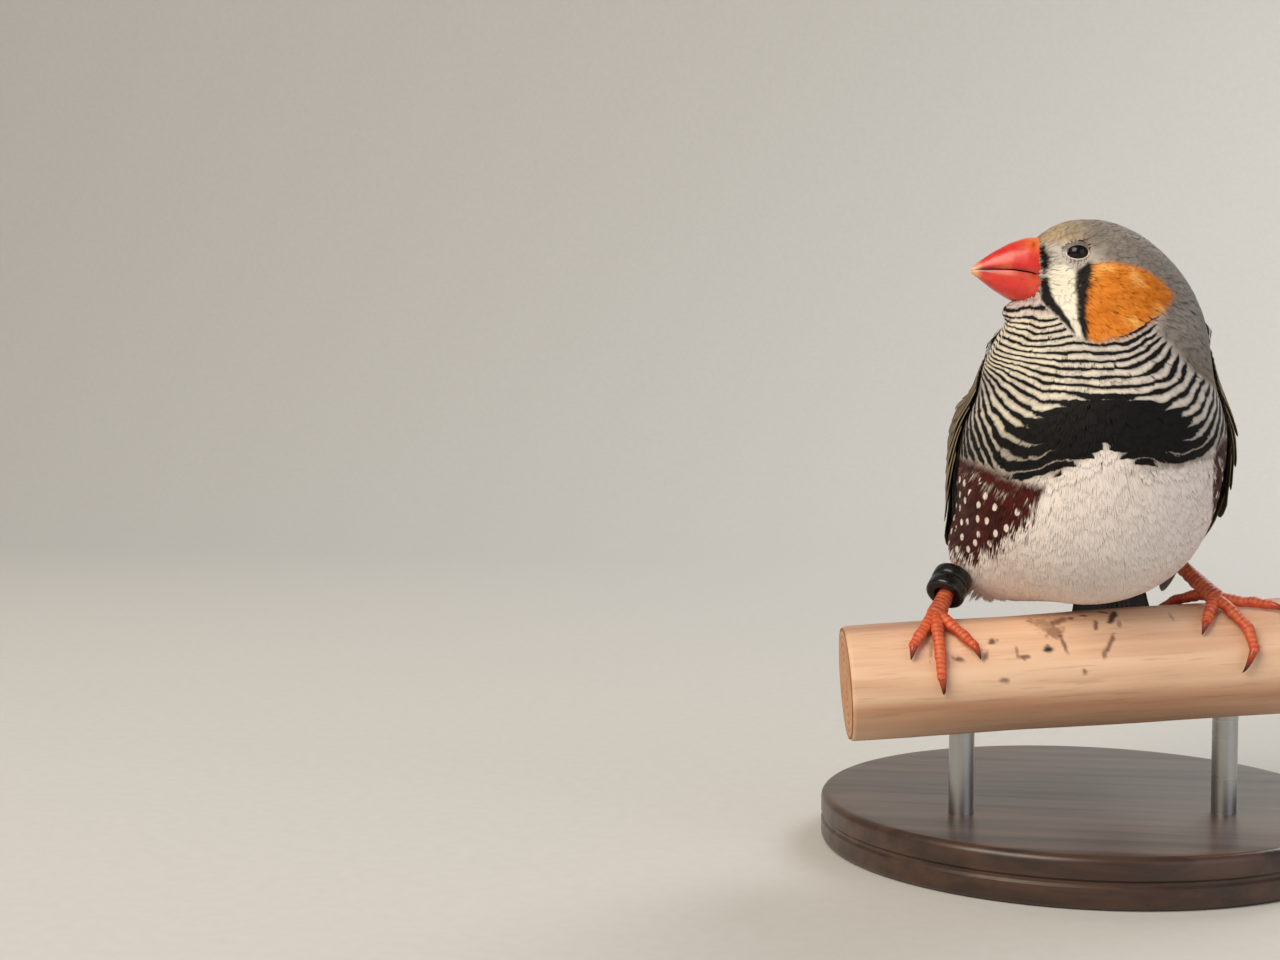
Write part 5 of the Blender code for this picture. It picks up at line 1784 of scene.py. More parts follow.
@dataclass(frozen=True)
class Bill:
    """The stout bill, in two halves that meet along the mouth."""

    stations: tuple[tuple[float, ...], ...] = (
        (4.5, 7.6, 0.9, -2.9, 4.1),
        (8.3, 7.6, 1.2, -2.9, 4.1),
        (11.0, 7.5, 2.2, -2.4, 3.7),
        (13.5, 6.7, 2.65, -1.75, 3.0),
        (16.2, 5.3, 2.75, -0.1, 2.0),
        (18.3, 3.9, 2.75, 1.5, 1.0),
        (19.4, 3.05, 2.6, 2.2, 0.35),
    )
    sides: int = 36
    rows: int = 56
    seam: float = 0.05
    nostril: tuple[float, float, float] = (2.5, -10.3, 6.2)

    def half(self, upper: bool) -> tuple[Array, Array, Array]:
        """Points, faces and tints of one half.

        Args:
            upper: the upper half, or else the lower.

        Returns:
            Points in the head's frame, quads, and colours.
        """
        spread = np.linspace(0, len(self.stations) - 1, self.rows)
        rows = np.array([np.interp(spread, range(len(column)), column) for column in zip(*self.stations)]).T
        kernel = np.array((1, 3, 4, 3, 1)) / 12
        for column in range(rows.shape[1]):
            padded = np.pad(rows[:, column], 2, mode="reflect", reflect_type="odd")
            rows[:, column] = np.convolve(padded, kernel, "valid")
        forward, top, mouth, bottom, half_width = rows.T
        seam = mouth + (self.seam if upper else -self.seam) * smooth(0.0, 0.6, half_width)
        rise = (top - seam) if upper else (bottom - seam)
        rise = np.where(np.abs(rise) < 0.1, 0.1 if upper else -0.1, rise)
        angle = 2 * math.pi * np.arange(self.sides) / self.sides
        arch = np.sin(angle)
        # The lower half is boxier in section than the upper
        aside = half_width[:, None] * np.sign(np.cos(angle)) * np.abs(np.cos(angle)) ** (0.9 if upper else 0.72)
        lift = np.where(arch > 0, np.abs(arch) ** (0.85 if upper else 0.68), 0.03 * arch) + 0.02
        ahead = np.broadcast_to(forward[:, None], aside.shape)
        local = np.stack([aside, -ahead, seam[:, None] + rise[:, None] * lift], axis=2)
        local[..., 2] += (0.1 if upper else -0.05) * np.exp(-((arch - 1) / 0.12) ** 2)
        if upper:
            side_spots = local.copy()
            side_spots[..., 0] = np.abs(side_spots[..., 0])
            pit = np.linalg.norm((side_spots - np.array(self.nostril)) / (1.0, 1.15, 0.8), axis=2)
            local[..., 0] -= np.sign(local[..., 0]) * 0.55 * smooth(0.55, 0.15, pit)
        points = np.concatenate([local.reshape(-1, 3), local[[0, -1]].mean(axis=1)])
        faces = tube_faces(self.rows, self.sides)
        red, orange, pale = linear("#DE2E22"), linear("#F07A34"), linear("#F4C08E")
        base = smooth(13.5, 9.5, -points[:, 1]) * (smooth(4.2, 7.0, points[:, 2]) if upper else 0.15)
        tint = mix(red, orange, base)
        at_mouth = np.abs(points[:, 2] - np.interp(-points[:, 1], rows[:, 0], mouth))
        # Near the mouth the horn turns darker red, and the near-black line right along the mouth is painted
        # shade in the crease between the halves
        tint = mix(tint, "#B3160E", 0.6 * smooth(0.9, 0.2, at_mouth))
        tint = mix(tint, "#4A0806", smooth(0.16, 0.07, at_mouth))
        tint = mix(tint, pale, smooth(17.6, 19.4, -points[:, 1]))
        if upper:
            # The nostril's pit is painted near black, as painted shade in its opening
            seen = np.stack([np.abs(points[:, 0]), points[:, 1], points[:, 2]], axis=1)
            pit = np.linalg.norm((seen - np.array(self.nostril)) / (1.6, 1.15, 0.8), axis=1)
            tint = mix(tint, "#3A0A06", smooth(0.55, 0.3, pit))
        return points, faces if upper else faces[:, ::-1], tint

    def build(self, material: Material) -> None:
        """Makes both halves in place of their solids.

        Args:
            material: the finish.
        """
        for upper, word in ((True, "upper"), (False, "lower")):
            points, faces, tint = self.half(upper)
            cloud = Cloud()
            cloud.add(from_head(points), faces[:, ::-1], tint=tint)
            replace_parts(cloud.build(f"bill_{word}_horn", material, Slot.HORN), f"bill_{word}")


@dataclass(frozen=True)
class Eye:
    """An eye and the ring of its lids."""

    coat: Coat
    side: int

    def axes(self) -> tuple[Array, Array]:
        """The eye's middle, and the turn that points +Z out of it with +X level.

        Returns:
            The place, and the axes as columns.
        """
        centre = from_head(np.array((self.side * EYE_PLACE[0], EYE_PLACE[1], EYE_PLACE[2])))
        out = unit(HEAD_AXES @ np.array((self.side, -0.12, 0.1)))
        level = unit(np.cross((0.0, 0.0, 1.0), out))
        return centre, np.stack([level, np.cross(out, level), out], axis=1)

    def build(self, wet: Material, lid: Material) -> None:
        """Makes the ball and the lids.

        Args:
            wet: the ball's finish.
            lid: the lids' finish.
        """
        word = "left" if self.side > 0 else "right"
        centre, turn = self.axes()
        rings, sides = 28, 48
        polar = np.linspace(0.02, math.pi - 0.02, rings)
        angle = 2 * math.pi * np.arange(sides) / sides
        radius = EYE_RADIUS * (1 + 0.03 * np.exp(-((polar / 0.5) ** 2)))
        reach, rise = radius * np.sin(polar), radius * np.cos(polar)
        local = np.stack([np.outer(reach, np.cos(angle)), np.outer(reach, np.sin(angle)),
                          np.outer(rise, np.ones(sides))], axis=2).reshape(-1, 3)
        local = np.concatenate([local, [(0, 0, radius[0]), (0, 0, -radius[-1])]])
        tilt = np.concatenate([np.repeat(polar, sides), (0.0, math.pi)])
        tint = mix("#1C0C07", "#050404", np.maximum(smooth(0.52, 0.46, tilt), smooth(0.75, 0.9, tilt)))
        cloud = Cloud()
        cloud.add(centre + local @ turn.T, tube_faces(rings, sides)[:, ::-1], tint=tint)
        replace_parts(cloud.build(f"eye_{word}_ball", wet, Slot.EYE), f"eye_{word}")
        self.lids(word, centre, turn, lid)

    def lids(self, word: str, centre: Array, turn: Array, material: Material) -> None:
        """Makes the lids: a beaded rim on the ball, and wrinkled skin out to the feathers.

        Args:
            word: left or right.
            centre: the eye's middle.
            turn: the eye's axes.
            material: the finish.
        """
        sides = 72
        angle = 2 * math.pi * np.arange(sides) / sides
        # Each ring: how much wider than the opening, how far over the ball, and how pale
        rings = ((0.02, 0.02, 0.1), (0.0, 0.14, 0.4), (0.06, 0.27, 1.0), (0.18, 0.3, 1.0), (0.3, 0.2, 0.75),
                 (0.45, 0.22, 0.9), (0.62, 0.12, 0.7), (0.9, -0.1, 0.5), (1.0, -0.8, 0.3), (0.4, -0.5, 0.2))
        points, tints = [], []
        # The upper half of the lids is painted darker grey, as painted shade under the feathers that overhang
        # it; the lower half is pale
        pale = mix("#7C746C", "#E4DED4", smooth(0.5, -0.3, np.sin(angle)))
        for wider, over, light in rings:
            across = (EYE_OPENING[0] + wider * (1 + 0.15 * np.cos(angle) ** 2)) * np.cos(angle)
            up = (EYE_OPENING[1] + wider) * np.sin(angle)
            flat = np.hypot(across, up)
            on_ball = np.sqrt(np.maximum(EYE_RADIUS**2 - flat**2, 0.0))
            slope = np.where(flat < 1.5, on_ball, np.sqrt(EYE_RADIUS**2 - 1.5**2) - 0.2 * (flat - 1.5))
            bead = 0.05 * np.sin(angle * 18) * (over > 0.2)
            local = np.stack([across, up, np.maximum(on_ball, slope) + over + bead], axis=1)
            points.append(centre + local @ turn.T)
            tints.append(mix("#2B2622", pale, np.full(sides, light)))
        cloud = Cloud()
        faces = grid_faces(len(rings) + 1, sides, wrap=True) % (len(rings) * sides)
        cloud.add(np.concatenate(points), faces, tint=np.concatenate(tints))
        cloud.build(f"lid_{word}", material, Slot.GREY)


# Legs, feet and ring

PERCH_AXES = np.array(
    Matrix.Rotation(math.radians(PERCH_TURN), 3, "Z") @ Matrix.Rotation(math.radians(-PERCH_RISE), 3, "Y")
)
PERCH_CENTRE = PERCH_AXES @ np.array((0.0, 0.0, -PERCH_RADIUS))
# Each station of a claw: how far along it, its radius, and how high it bows over the branch
CLAW_STATIONS = ((0.0, 0.78, 0.05), (0.3, 0.6, 0.35), (0.6, 0.42, 0.45), (0.85, 0.24, 0.3), (1.0, 0.07, 0.05))


def on_perch(along: Array, degrees: Array, height: Array) -> Array:
    """Points at a height over the branch, from their place along it and degrees forward of its top.

    Args:
        along: places along it.
        degrees: turns forward of its top.
        height: heights over it.

    Returns:
        The points.
    """
    turn = np.radians(degrees)
    reach = PERCH_RADIUS + np.asarray(height, float)
    along = np.broadcast_to(along, np.shape(reach))
    local = np.stack([along, -reach * np.sin(turn), reach * np.cos(turn)], axis=-1)
    return PERCH_CENTRE + local @ PERCH_AXES.T


@dataclass(frozen=True)
class Foot:
    """A leg and its foot: where the toes join, the ankle over it, the heel, and the toes' stations."""

    word: str
    joint: tuple[float, float]
    ankle: float
    heel: tuple[float, float, float]
    toes: tuple[tuple[tuple[float, float], ...], ...]
    toe_radii: tuple[float, ...] = (1.12, 1.0, 0.94, 0.86)
    joint_height: float = 1.5
    tarsus: float = 1.2
    plate: float = 0.78

    def scaled_tube(self, cloud: Cloud, rows: Array, sides: int, tint: Array, flat: float = 1.0) -> None:
        """Adds a limb with plates across its upper side.

        Args:
            cloud: the mesh in the making.
            rows: places and radii along it.
            sides: how many sides.
            tint: its colour.
            flat: how flat it is.
        """
        run = np.concatenate([[0], np.cumsum(np.linalg.norm(np.diff(rows[:, :3], axis=0), axis=1))])
        angle = 2 * math.pi * np.arange(sides) / sides
        upper = smooth(-0.3, 0.4, np.sin(angle))
        place = (run[:, None] / self.plate) + 0.12 * np.cos(angle) + 0.45 * noise(rows[:, :3], 2.0, 33)[:, None]
        wave = np.abs((place % 1.0) - 0.5) * 2
        groove = smooth(0.72, 1.0, wave)
        bulge = 0.03 * (1 - wave**2) - 0.06 * groove
        pads = 0.05 * (1 - upper) * np.sin(2 * math.pi * run / 1.7)[:, None]
        radii = rows[:, 3:4] * (1 + bulge * upper + pads)
        points, faces = tube(rows[:, :3], radii, sides, flat)
        # The grooves between the plates are painted darker red as painted shade, and the crown of each plate
        # paler orange as a painted highlight
        shade = np.concatenate([(groove * upper).ravel(), (0.0, 0.0)])
        tints = mix(np.broadcast_to(tint, points.shape), "#7A160A", 0.55 * shade)
        tints = mix(tints, "#9E2410", 0.5 * smooth(0.0, 0.8, noise(points, 1.7, 31)))
        crown = np.concatenate([((1 - wave) * upper).ravel(), (0.0, 0.0)])
        tints = mix(tints, "#F29A62", 0.35 * crown)
        cloud.add(points, faces, tint=tints)

    def toe_rows(self, stations: tuple) -> tuple[Array, Array]:
        """The toe's and the claw's places and radii, from stations along the branch.

        Args:
            stations: places along the branch and degrees forward of its top.

        Returns:
            Rows for the toe and the claw.
        """
        rows = []
        for k in range(3):
            for share, swell in ((0.0, 1.0), (0.5, 0.86)):
                t = stations[k][0] + (stations[k + 1][0] - stations[k][0]) * share
                turn = stations[k][1] + (stations[k + 1][1] - stations[k][1]) * share
                radius = self.toe_radii[k] * swell
                lift = 0.3 if k == 0 else 0.0
                rows.append((*on_perch(t, turn, GAP * 0.4 + radius + lift), radius))
        root, tip = stations[3], stations[4]
        claw = []
        for share, radius, lift in CLAW_STATIONS:
            t = root[0] + (tip[0] - root[0]) * share
            turn = root[1] + (tip[1] - root[1]) * share
            claw.append((*on_perch(t, turn, GAP * 0.4 + radius + lift), radius))
        rows.append(claw[0])
        rows.append((*on_perch(root[0] * 0.82 + tip[0] * 0.18, root[1] * 0.82 + tip[1] * 0.18, 0.95), 0.62))
        return curve_through(np.array(rows), 84), curve_through(np.array(claw), 30)

    def way(self) -> tuple[Array, Array, Array]:
        """The toes' joint, the ankle and the leg's direction.

        Returns:
            Two places and a direction.
        """
        joint = on_perch(self.joint[0], self.joint[1], self.joint_height)
        up = unit(np.array(self.heel) - joint)
        return joint, joint + up * self.ankle, up

    def build(self, scale: Material, horn: Material) -> None:
        """Makes the leg, the foot and the claws in place of their solids.

        Args:
            scale: the skin's finish.
            horn: the claws' finish.
        """
        joint, ankle, up = self.way()
        skin, claws = Cloud(), Cloud()
        # The leg and half of the hind toe are painted in the darker, shaded copy of the skin's red, as painted
        # shade under the belly and the branch; the other toes take mostly the lit copy
        lit, deep = linear("#D2481E"), linear("#A52D14")
        heel = np.array(self.heel)
        length = np.linalg.norm(heel - ankle)
        rows = [(*(joint - up * 0.6), 1.0), (*joint, 1.5), (*(joint + up * 1.4), 1.42), (*ankle, 1.3)]
        rows += [(*(ankle + up * length * share), radius)
                 for share, radius in ((0.3, self.tarsus), (0.6, self.tarsus), (0.88, 1.35), (1.0, 1.5))]
        rows.append((*(heel + up * 1.6), 1.3))
        self.scaled_tube(skin, curve_through(np.array(rows), 110), 28, deep)
        for number, stations in enumerate(self.toes):
            toe, claw = self.toe_rows(stations)
            self.scaled_tube(skin, toe, 22, mix(lit, deep, np.array(0.5 if number == 3 else 0.12)), 0.92)
            points, faces = tube(claw[:, :3], claw[:, 3] * 0.92, 14)
            share = np.concatenate([np.repeat(np.linspace(0, 1, len(claw)), 14), (0.0, 1.0)])
            claws.add(points, faces, tint=mix("#B8441C", "#4A1A0E", smooth(0.1, 0.9, share)))
        obj = skin.build(f"leg_{self.word}_skin", scale, Slot.SCALE)
        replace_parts(obj, f"leg_{self.word}", f"foot_{self.word}")
        claws.build(f"claws_{self.word}", horn, Slot.SCALE)


FEET = (
    Foot("right", (-24.4, 14.0), 2.9, (-18.3, 4.2, 9.8), (
        ((-24.4, 14.0), (-24.8, 36.0), (-25.0, 60.0), (-25.1, 80.0), (-24.9, 97.0)),
        ((-24.0, 14.0), (-22.5, 30.0), (-20.9, 44.0), (-19.6, 54.0), (-18.8, 66.0)),
        ((-24.8, 14.0), (-26.2, 27.0), (-27.7, 40.0), (-28.9, 50.0), (-29.5, 62.0)),
        ((-24.4, 10.0), (-23.9, -14.0), (-23.6, -38.0), (-23.5, -58.0), (-23.3, -86.0)),
    )),
    Foot("left", (19.4, 16.0), 4.3, (12.2, 11.6, 9.3), (
        ((19.4, 17.0), (21.0, 35.0), (22.7, 55.0), (23.1, 73.0), (21.2, 94.0)),
        ((19.2, 17.0), (18.3, 27.5), (17.4, 37.0), (16.7, 44.5), (15.7, 55.5)),
        ((19.8, 17.0), (22.4, 20.0), (25.2, 24.0), (27.6, 29.0), (29.8, 40.0)),
        ((19.2, 12.0), (17.2, -8.0), (15.2, -25.0), (13.6, -38.0), (12.0, -58.0)),
    )),
)


@dataclass(frozen=True)
class LegRing:
    """A ring round the right leg, split round its middle by a groove."""

    outer: float = 3.15
    inner: float = 1.55
    height: float = 4.5
    around: int = 96

    def build(self, foot: Foot, material: Material) -> None:
        """Makes the ring in place of its solid, where the solid hangs.

        Args:
            foot: the leg that wears it.
            material: the finish.
        """
        _, ankle, up = foot.way()
        start = ankle + up * GAP / 2
        middle = start + up * np.linalg.norm(np.array(foot.heel) - start) * 0.27 + np.array((-0.25, 0.0, 0.0))
        turn = np.array(Vector(up).to_track_quat("Z", "Y").to_matrix())
        half, edge, lip = self.height / 2, 0.5, 0.3
        corner = np.radians((0, 30, 60, 90))
        profile = [(self.outer - edge + edge * math.sin(a), -half + edge - edge * math.cos(a)) for a in corner]
        profile += [(self.outer, -0.36), (self.outer - 0.08, -0.24), (self.outer - lip, -0.12)]
        profile += [(r, -h) for r, h in reversed(profile)]
        profile += [(self.inner + lip - lip * math.sin(a), half - lip + lip * math.cos(a)) for a in corner]
        profile += [(self.inner + lip - lip * math.cos(a), -half + lip - lip * math.sin(a)) for a in corner]
        local, faces = turned(profile, self.around, True)
        cloud = Cloud()
        cloud.add(middle + local @ turn.T, faces)
        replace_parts(cloud.build("leg_ring_nylon", material, Slot.RING, 50.0), "leg_ring")


# Branch and stand


@dataclass(frozen=True)
class Stain:
    """A mark on the bark: its place along the branch, degrees forward, half sizes, lean and strength."""

    along: float
    degrees: float
    half: tuple[float, float]
    lean: float
    strength: float
    colour: str = "#6A4638"


STAINS = (
    Stain(-7.6, 30.0, (3.2, 1.9), 60.0, 0.5, "#8E6A62"), Stain(-5.4, 24.0, (1.8, 0.8), -25.0, 0.7),
    Stain(-6.6, 40.0, (1.3, 1.2), 0.0, 0.5, "#8E6A62"), Stain(3.1, 22.0, (0.6, 2.3), 25.0, 0.95, "#3A221A"),
    Stain(2.0, 13.0, (1.5, 0.4), 30.0, 0.8), Stain(0.0, 34.0, (0.4, 1.3), 10.0, 0.85),
    Stain(-16.5, 46.0, (0.9, 0.5), 0.0, 0.9), Stain(-8.0, 59.0, (0.85, 0.65), 0.0, 1.0, "#2A1610"),
    Stain(-5.6, 55.0, (0.38, 1.9), -8.0, 0.8), Stain(1.6, 57.0, (0.4, 2.0), 28.0, 0.8),
    Stain(0.4, 68.0, (0.45, 1.1), 20.0, 0.7), Stain(-22.0, 64.0, (1.1, 0.45), 20.0, 0.85),
    Stain(-18.0, 63.0, (0.4, 1.2), 30.0, 0.7), Stain(-12.0, 66.0, (0.9, 0.45), 0.0, 0.8),
    Stain(-15.4, 88.0, (0.9, 0.5), 0.0, 0.7), Stain(-13.0, 60.0, (0.3, 1.1), 0.0, 0.6),
    Stain(3.6, 36.0, (0.35, 1.2), 12.0, 0.55), Stain(-3.0, 84.0, (0.4, 0.5), 0.0, 0.7),
    Stain(-26.0, 50.0, (0.35, 2.2), 15.0, 0.5), Stain(12.0, 30.0, (0.3, 1.0), -10.0, 0.45),
    Stain(24.0, 70.0, (0.8, 0.35), 5.0, 0.5), Stain(-3.4, 20.0, (0.5, 0.5), 0.0, 0.8),
    Stain(-1.4, 17.0, (0.7, 0.4), 15.0, 0.8), Stain(-10.0, 20.0, (0.6, 0.35), 40.0, 0.7),
)


@dataclass(frozen=True)
class Perch:
    """The cut length of peeled branch."""

    rows: int = 300
    sides: int = 184
    edge: float = 0.7
    cap_rings: int = 26

    def rings(self) -> tuple[Array, Array]:
        """The branch's rings: over one cut end, along it, and over the other.

        Returns:
            Each ring's place along the branch, and the share of the radius by which it is drawn in.
        """
        half = PERCH_LENGTH / 2
        middle = np.linspace(-half + self.edge, half - self.edge, self.rows)
        quarter = np.radians(np.linspace(0, 90, 6))[1:]
        ends = np.array([(self.edge * (1 - math.cos(a)), self.edge * math.sin(a)) for a in quarter])
        caps = np.linspace(0.97, 0.02, self.cap_rings)
        places = [*(-half for _ in caps), *(-half + self.edge - e[1] for e in ends[::-1]), *middle]
        places += [*(half - self.edge + e[1] for e in ends), *(half for _ in caps)]
        shrink = [*(1 - caps[::-1]), *(e[0] / PERCH_RADIUS for e in ends[::-1]), *np.zeros(self.rows)]
        shrink += [*(e[0] / PERCH_RADIUS for e in ends), *(1 - caps)]
        return np.array(places), np.array(shrink)

    @staticmethod
    def bark(seen: Array, forward: Array) -> tuple[Array, Array]:
        """The peeled wood's colour with a painted shadow of the bird, a darker band low on its front, and
        stains.

        Args:
            seen: places along and across the branch, as if it were straight and round.
            forward: degrees forward of its top.

        Returns:
            The colours, and how deep each point is dented.
        """
        along = seen[:, 0]
        tint = np.ones((len(along), 3)) * (1 + 0.06 * noise(seen * (0.15, 1, 1), 3.0, 22))[:, None]
        # Painted shade in mauve covers the top and back of the branch, reaching further forward under the bird,
        # as its shadow
        shade = smooth(16.0, -6.0, forward + 0.4 * (along - 8) * (along < 8)) * smooth(-150.0, -100.0, forward)
        tint = mix(tint, "#B093A0", 0.55 * shade)
        # Low on the front the wood is painted a darker tan
        tint = mix(tint, "#C79A78", 0.45 * smooth(96.0, 112.0, forward) * smooth(150.0, 125.0, forward))
        dent = np.zeros(len(along))
        for stain in STAINS:
            arc = (forward - stain.degrees) * math.radians(1.0) * PERCH_RADIUS
            lean = math.radians(stain.lean)
            gone = along - stain.along
            first = (gone * math.cos(lean) + arc * math.sin(lean)) / stain.half[0]
            second = (-gone * math.sin(lean) + arc * math.cos(lean)) / stain.half[1]
            cover = smooth(1.25, 0.5, np.hypot(first, second) + 0.45 * noise(seen, 0.5, 23))
            tint = mix(tint, linear(stain.colour), cover * stain.strength)
            dent += 0.05 * cover * stain.strength
        return tint, dent

    def build(self, material: Material) -> None:
        """Makes the branch in place of its solid.

        Args:
            material: the finish.
        """
        half = PERCH_LENGTH / 2
        places, shrink = self.rings()
        angle = 2 * math.pi * np.arange(self.sides) / self.sides
        along = PERCH_MIDDLE + np.repeat(places, self.sides)
        around = np.tile(angle, len(places))
        forward = (np.degrees(around) + 180) % 360 - 180
        wave = 0.05 * np.sin(0.19 * along + 1.0) + 0.06 * np.sin(0.11 * along + 2 * around)
        seen = np.stack([along, PERCH_RADIUS * np.sin(around), PERCH_RADIUS * np.cos(around)], axis=1)
        rough = 0.035 * noise(seen * (0.25, 1, 1), 1.6, 20) + 0.05 * noise(seen * (0.3, 1, 1), 6.0, 21)
        tint, dent = self.bark(seen, forward)
        reach = PERCH_RADIUS - 0.1 + wave + np.minimum(rough, 0.03) - dent
        reach = reach * (1 - np.repeat(shrink, self.sides))
        cut = np.repeat(np.abs(np.abs(places) - half) < 1e-6, self.sides)
        rings = 0.5 + 0.5 * np.sin(reach * 5.2 + 1.2 * noise(seen, 6.0, 24))
        tint = np.where(cut[:, None], mix("#F2DCC0", "#B98E66", 0.75 * rings), tint)
        local = np.stack([along, -reach * np.sin(around), reach * np.cos(around)], axis=1)
        ends = np.array(((PERCH_MIDDLE - half, 0.0, 0.0), (PERCH_MIDDLE + half, 0.0, 0.0)))
        points = PERCH_CENTRE + np.concatenate([local, ends]) @ PERCH_AXES.T
        cloud = Cloud()
        cloud.add(points, tube_faces(len(places), self.sides),
                  tint=np.concatenate([tint, np.tile(linear("#C9A27A"), (2, 1))]),
                  grain=np.concatenate([local * (MM, -MM, MM), np.zeros((2, 3))]))
        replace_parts(cloud.build("perch_wood", material, Slot.WOOD, 60.0), "perch")


@dataclass(frozen=True)
class Stand:
    """The turned base, drilled where the rods stand in it."""

    around: int = 192
    edge: float = 1.2

    def build(self, oak: Material, steel: Material) -> None:
        """Makes the base and the rods in place of their solids.

        Args:
            oak: the base's finish.
            steel: the rods' finish.
        """
        cove = np.radians(np.linspace(0, 90, 7))
        rim, edge = BASE_RADIUS, self.edge
        profile = [(rim - edge + edge * math.sin(a), edge - edge * math.cos(a)) for a in cove]
        profile += [(rim, BASE_THICK * 0.42), (rim - 0.35, BASE_THICK * 0.47), (rim - 0.35, BASE_THICK * 0.53),
                    (rim, BASE_THICK * 0.58)]
        profile += [(rim - edge * (1 - math.cos(a)), BASE_THICK - edge + edge * math.sin(a)) for a in cove]
        profile += [(reach, BASE_THICK) for reach in (rim - 3.0, rim * 0.75, rim * 0.5, rim * 0.25, 0.01)]
        points, faces = turned([(0.01, 0.0), *profile], self.around)
        cloud = Cloud()
        cloud.add(points - ORIGIN, faces, grain=points * MM, tint=np.ones_like(points))
        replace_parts(cloud.build("stand_base_oak", oak, Slot.OAK, 35.0), "stand_base")
        for station, word in zip(ROD_STATIONS, ("right", "left")):
            under = PERCH_CENTRE + PERCH_AXES @ np.array((station, 0.0, -PERCH_RADIUS))
            low, high, wide = BASE_THICK - PERCH_TOP - 4.0, under[2] + 4.0, ROD_RADIUS
            profile = [(0.01, low), (wide - 0.3, low), (wide, low + 0.3)]
            profile += [(wide, h) for h in np.linspace(low + 1.0, high - 1.0, 8)]
            profile += [(wide, high - 0.3), (wide - 0.3, high), (0.01, high)]
            points, faces = turned(profile, 72)
            cloud = Cloud()
            cloud.add(points + (under[0], under[1], 0.0), faces)
            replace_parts(cloud.build(f"rod_{word}_steel", steel, Slot.STEEL, 35.0), f"stand_rod_{word}")


# Studio


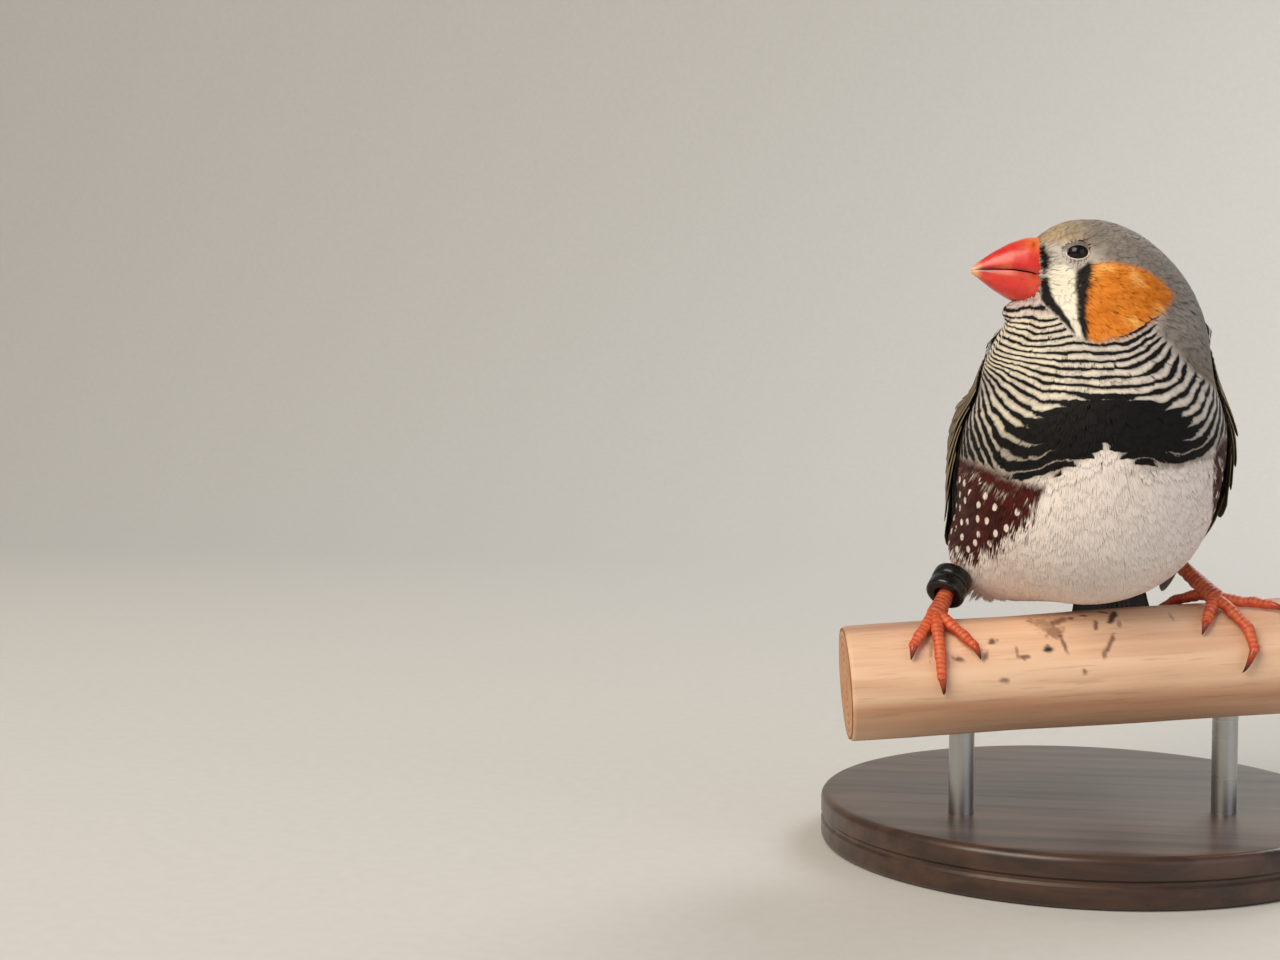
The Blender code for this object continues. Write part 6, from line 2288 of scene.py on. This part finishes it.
@dataclass(frozen=True)
class Studio:
    """A pale floor and backdrop, soft lights, and the camera where the photograph was taken from."""

    camera_turn: float = 10.0
    distance: float = 300.0
    aside: float = -71.0
    height: float = 36.5
    focal_pixels: float = 1900.0
    frame_width: float = 1280.0
    sensor: float = 36.0
    drop_pixels: float = 100.0

    def camera(self) -> None:
        """Sets up the camera."""
        data = bpy.data.cameras.new("camera")
        data.sensor_width = self.sensor
        data.lens = self.sensor * self.focal_pixels / self.frame_width
        data.clip_start = 0.01
        obj = bpy.data.objects.new("camera", data)
        bpy.context.scene.collection.objects.link(obj)
        turn = math.radians(self.camera_turn)
        x = self.aside * math.cos(turn) + self.distance * math.sin(turn)
        y = self.aside * math.sin(turn) - self.distance * math.cos(turn)
        obj.location = Vector(Part.point((x, y, self.height)))
        obj.rotation_euler = (math.pi / 2 - math.atan(self.drop_pixels / self.focal_pixels), 0.0, turn)
        bpy.context.scene.camera = obj

    def light(self, name: str, place: tuple, aim: tuple, size: float, power: float, colour: str) -> None:
        """Adds a square soft light.

        Args:
            name: its name.
            place: where it hangs, in metres.
            aim: what it points at.
            size: its side in metres.
            power: its power in watts.
            colour: its colour as a hex code.
        """
        data = bpy.data.lights.new(name, "AREA")
        data.size = size
        data.energy = power
        data.color = tuple(linear(colour))
        obj = bpy.data.objects.new(name, data)
        obj.location = place
        obj.rotation_euler = (Vector(aim) - Vector(place)).to_track_quat("-Z", "Y").to_euler()
        bpy.context.scene.collection.objects.link(obj)

    def build(self) -> None:
        """Makes the floor, the backdrop, the lights and the camera."""
        bend = np.radians(np.linspace(0, 90, 14))
        curve = [(-4.0, 0.0), (0.5, 0.0)] + [(0.5 + 0.4 * math.sin(a), 0.4 - 0.4 * math.cos(a)) for a in bend]
        curve += [(0.9, 2.2)]
        points = [(x, y, z) for y, z in curve for x in (-2.5, 2.5)]
        faces = [(2 * k, 2 * k + 1, 2 * k + 3, 2 * k + 2) for k in range(len(curve) - 1)]
        mesh = bpy.data.meshes.new("floor")
        mesh.from_pydata(points, [], faces)
        mesh.shade_smooth()
        paper, tree, shader = start_material("studio_paper", {"Roughness": 0.9})
        place = add_node(tree, "TexCoord").outputs["Object"]
        fibre = add_node(tree, "TexNoise", links={"Vector": place, "Scale": 400.0, "Detail": 4.0})
        colour = blend(tree, fibre.outputs[0], "#C9C8C4", "#D2D1CD")
        tree.links.new(colour, shader.inputs["Base Color"])
        mesh.materials.append(paper)
        floor = bpy.data.objects.new("floor", mesh)
        bpy.context.scene.collection.objects.link(floor)
        aim = (0.0, -0.014, 0.07)
        self.light("key", (-0.55, -0.75, 0.85), aim, 0.8, 14.2, "#FFF1DE")
        self.light("fill", (0.75, -0.6, 0.35), aim, 0.8, 2.0, "#E8EEFF")
        self.light("rim", (0.45, 0.75, 0.7), aim, 0.5, 5.0, "#FFFFFF")
        world = bpy.data.worlds.new("studio")
        world.use_nodes = True
        world.node_tree.nodes["Background"].inputs[0].default_value = (*linear("#DDE2E8"), 1.0)
        world.node_tree.nodes["Background"].inputs[1].default_value = 0.27
        bpy.context.scene.world = world
        bpy.context.scene.view_settings.view_transform = "Standard"
        self.camera()


def main() -> None:
    """Builds the looks piece by piece."""
    logging.basicConfig(level=logging.INFO, format="%(name)s %(message)s")
    Studio().build()
    coat, plumage = Coat(), Plumage()
    skin = Skin(coat, plumage)
    wings = [Wing(coat, side) for side in (1, -1)]
    feather, wing_feather = BODY_FEATHER.material(), WING_FEATHER.material()
    skin.build(feather)

    def bare(points: Array) -> Array:
        """Where no feather grows: under the wings, at the eyes and over the bill.

        Args:
            points: places in millimetres, one a row.

        Returns:
            True at such a point.
        """
        local = to_cheek(points)
        eye = np.hypot((local[:, 1] - EYE_PLACE[1]) / 1.95, (local[:, 2] - EYE_PLACE[2] + 0.1) / 1.35)
        at_eye = (eye < 1.0) & (local[:, 0] > 3.5)
        in_bill = (local[:, 1] < -9.3) & (local[:, 2] > 0.2) & (local[:, 2] < 6.2) & (local[:, 0] < 2.2)
        return at_eye | in_bill | wings[0].covers(points) | wings[1].covers(points)

    body = BodyFeathers(coat, plumage, skin, bare)
    body.build(feather)
    for wing in wings:
        wing.build(wing_feather)
        body.scapulars(wing, feather)
    Tail().build(TAIL_FEATHER.material())
    Bill().build(BILL_HORN.material())
    wet, lid = WET_EYE.material(), LID_SKIN.material()
    for side in (1, -1):
        Eye(coat, side).build(wet, lid)
    scale, horn = FOOT_SKIN.material(), CLAW_HORN.material()
    for foot in FEET:
        foot.build(scale, horn)
    LegRing().build(FEET[0], MOULDED_NYLON.material())
    Perch().build(PEELED_WOOD.material())
    Stand().build(STAINED_OAK.material(), GROUND_STEEL.material())
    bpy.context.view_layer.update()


if __name__ == "__main__":
    main()
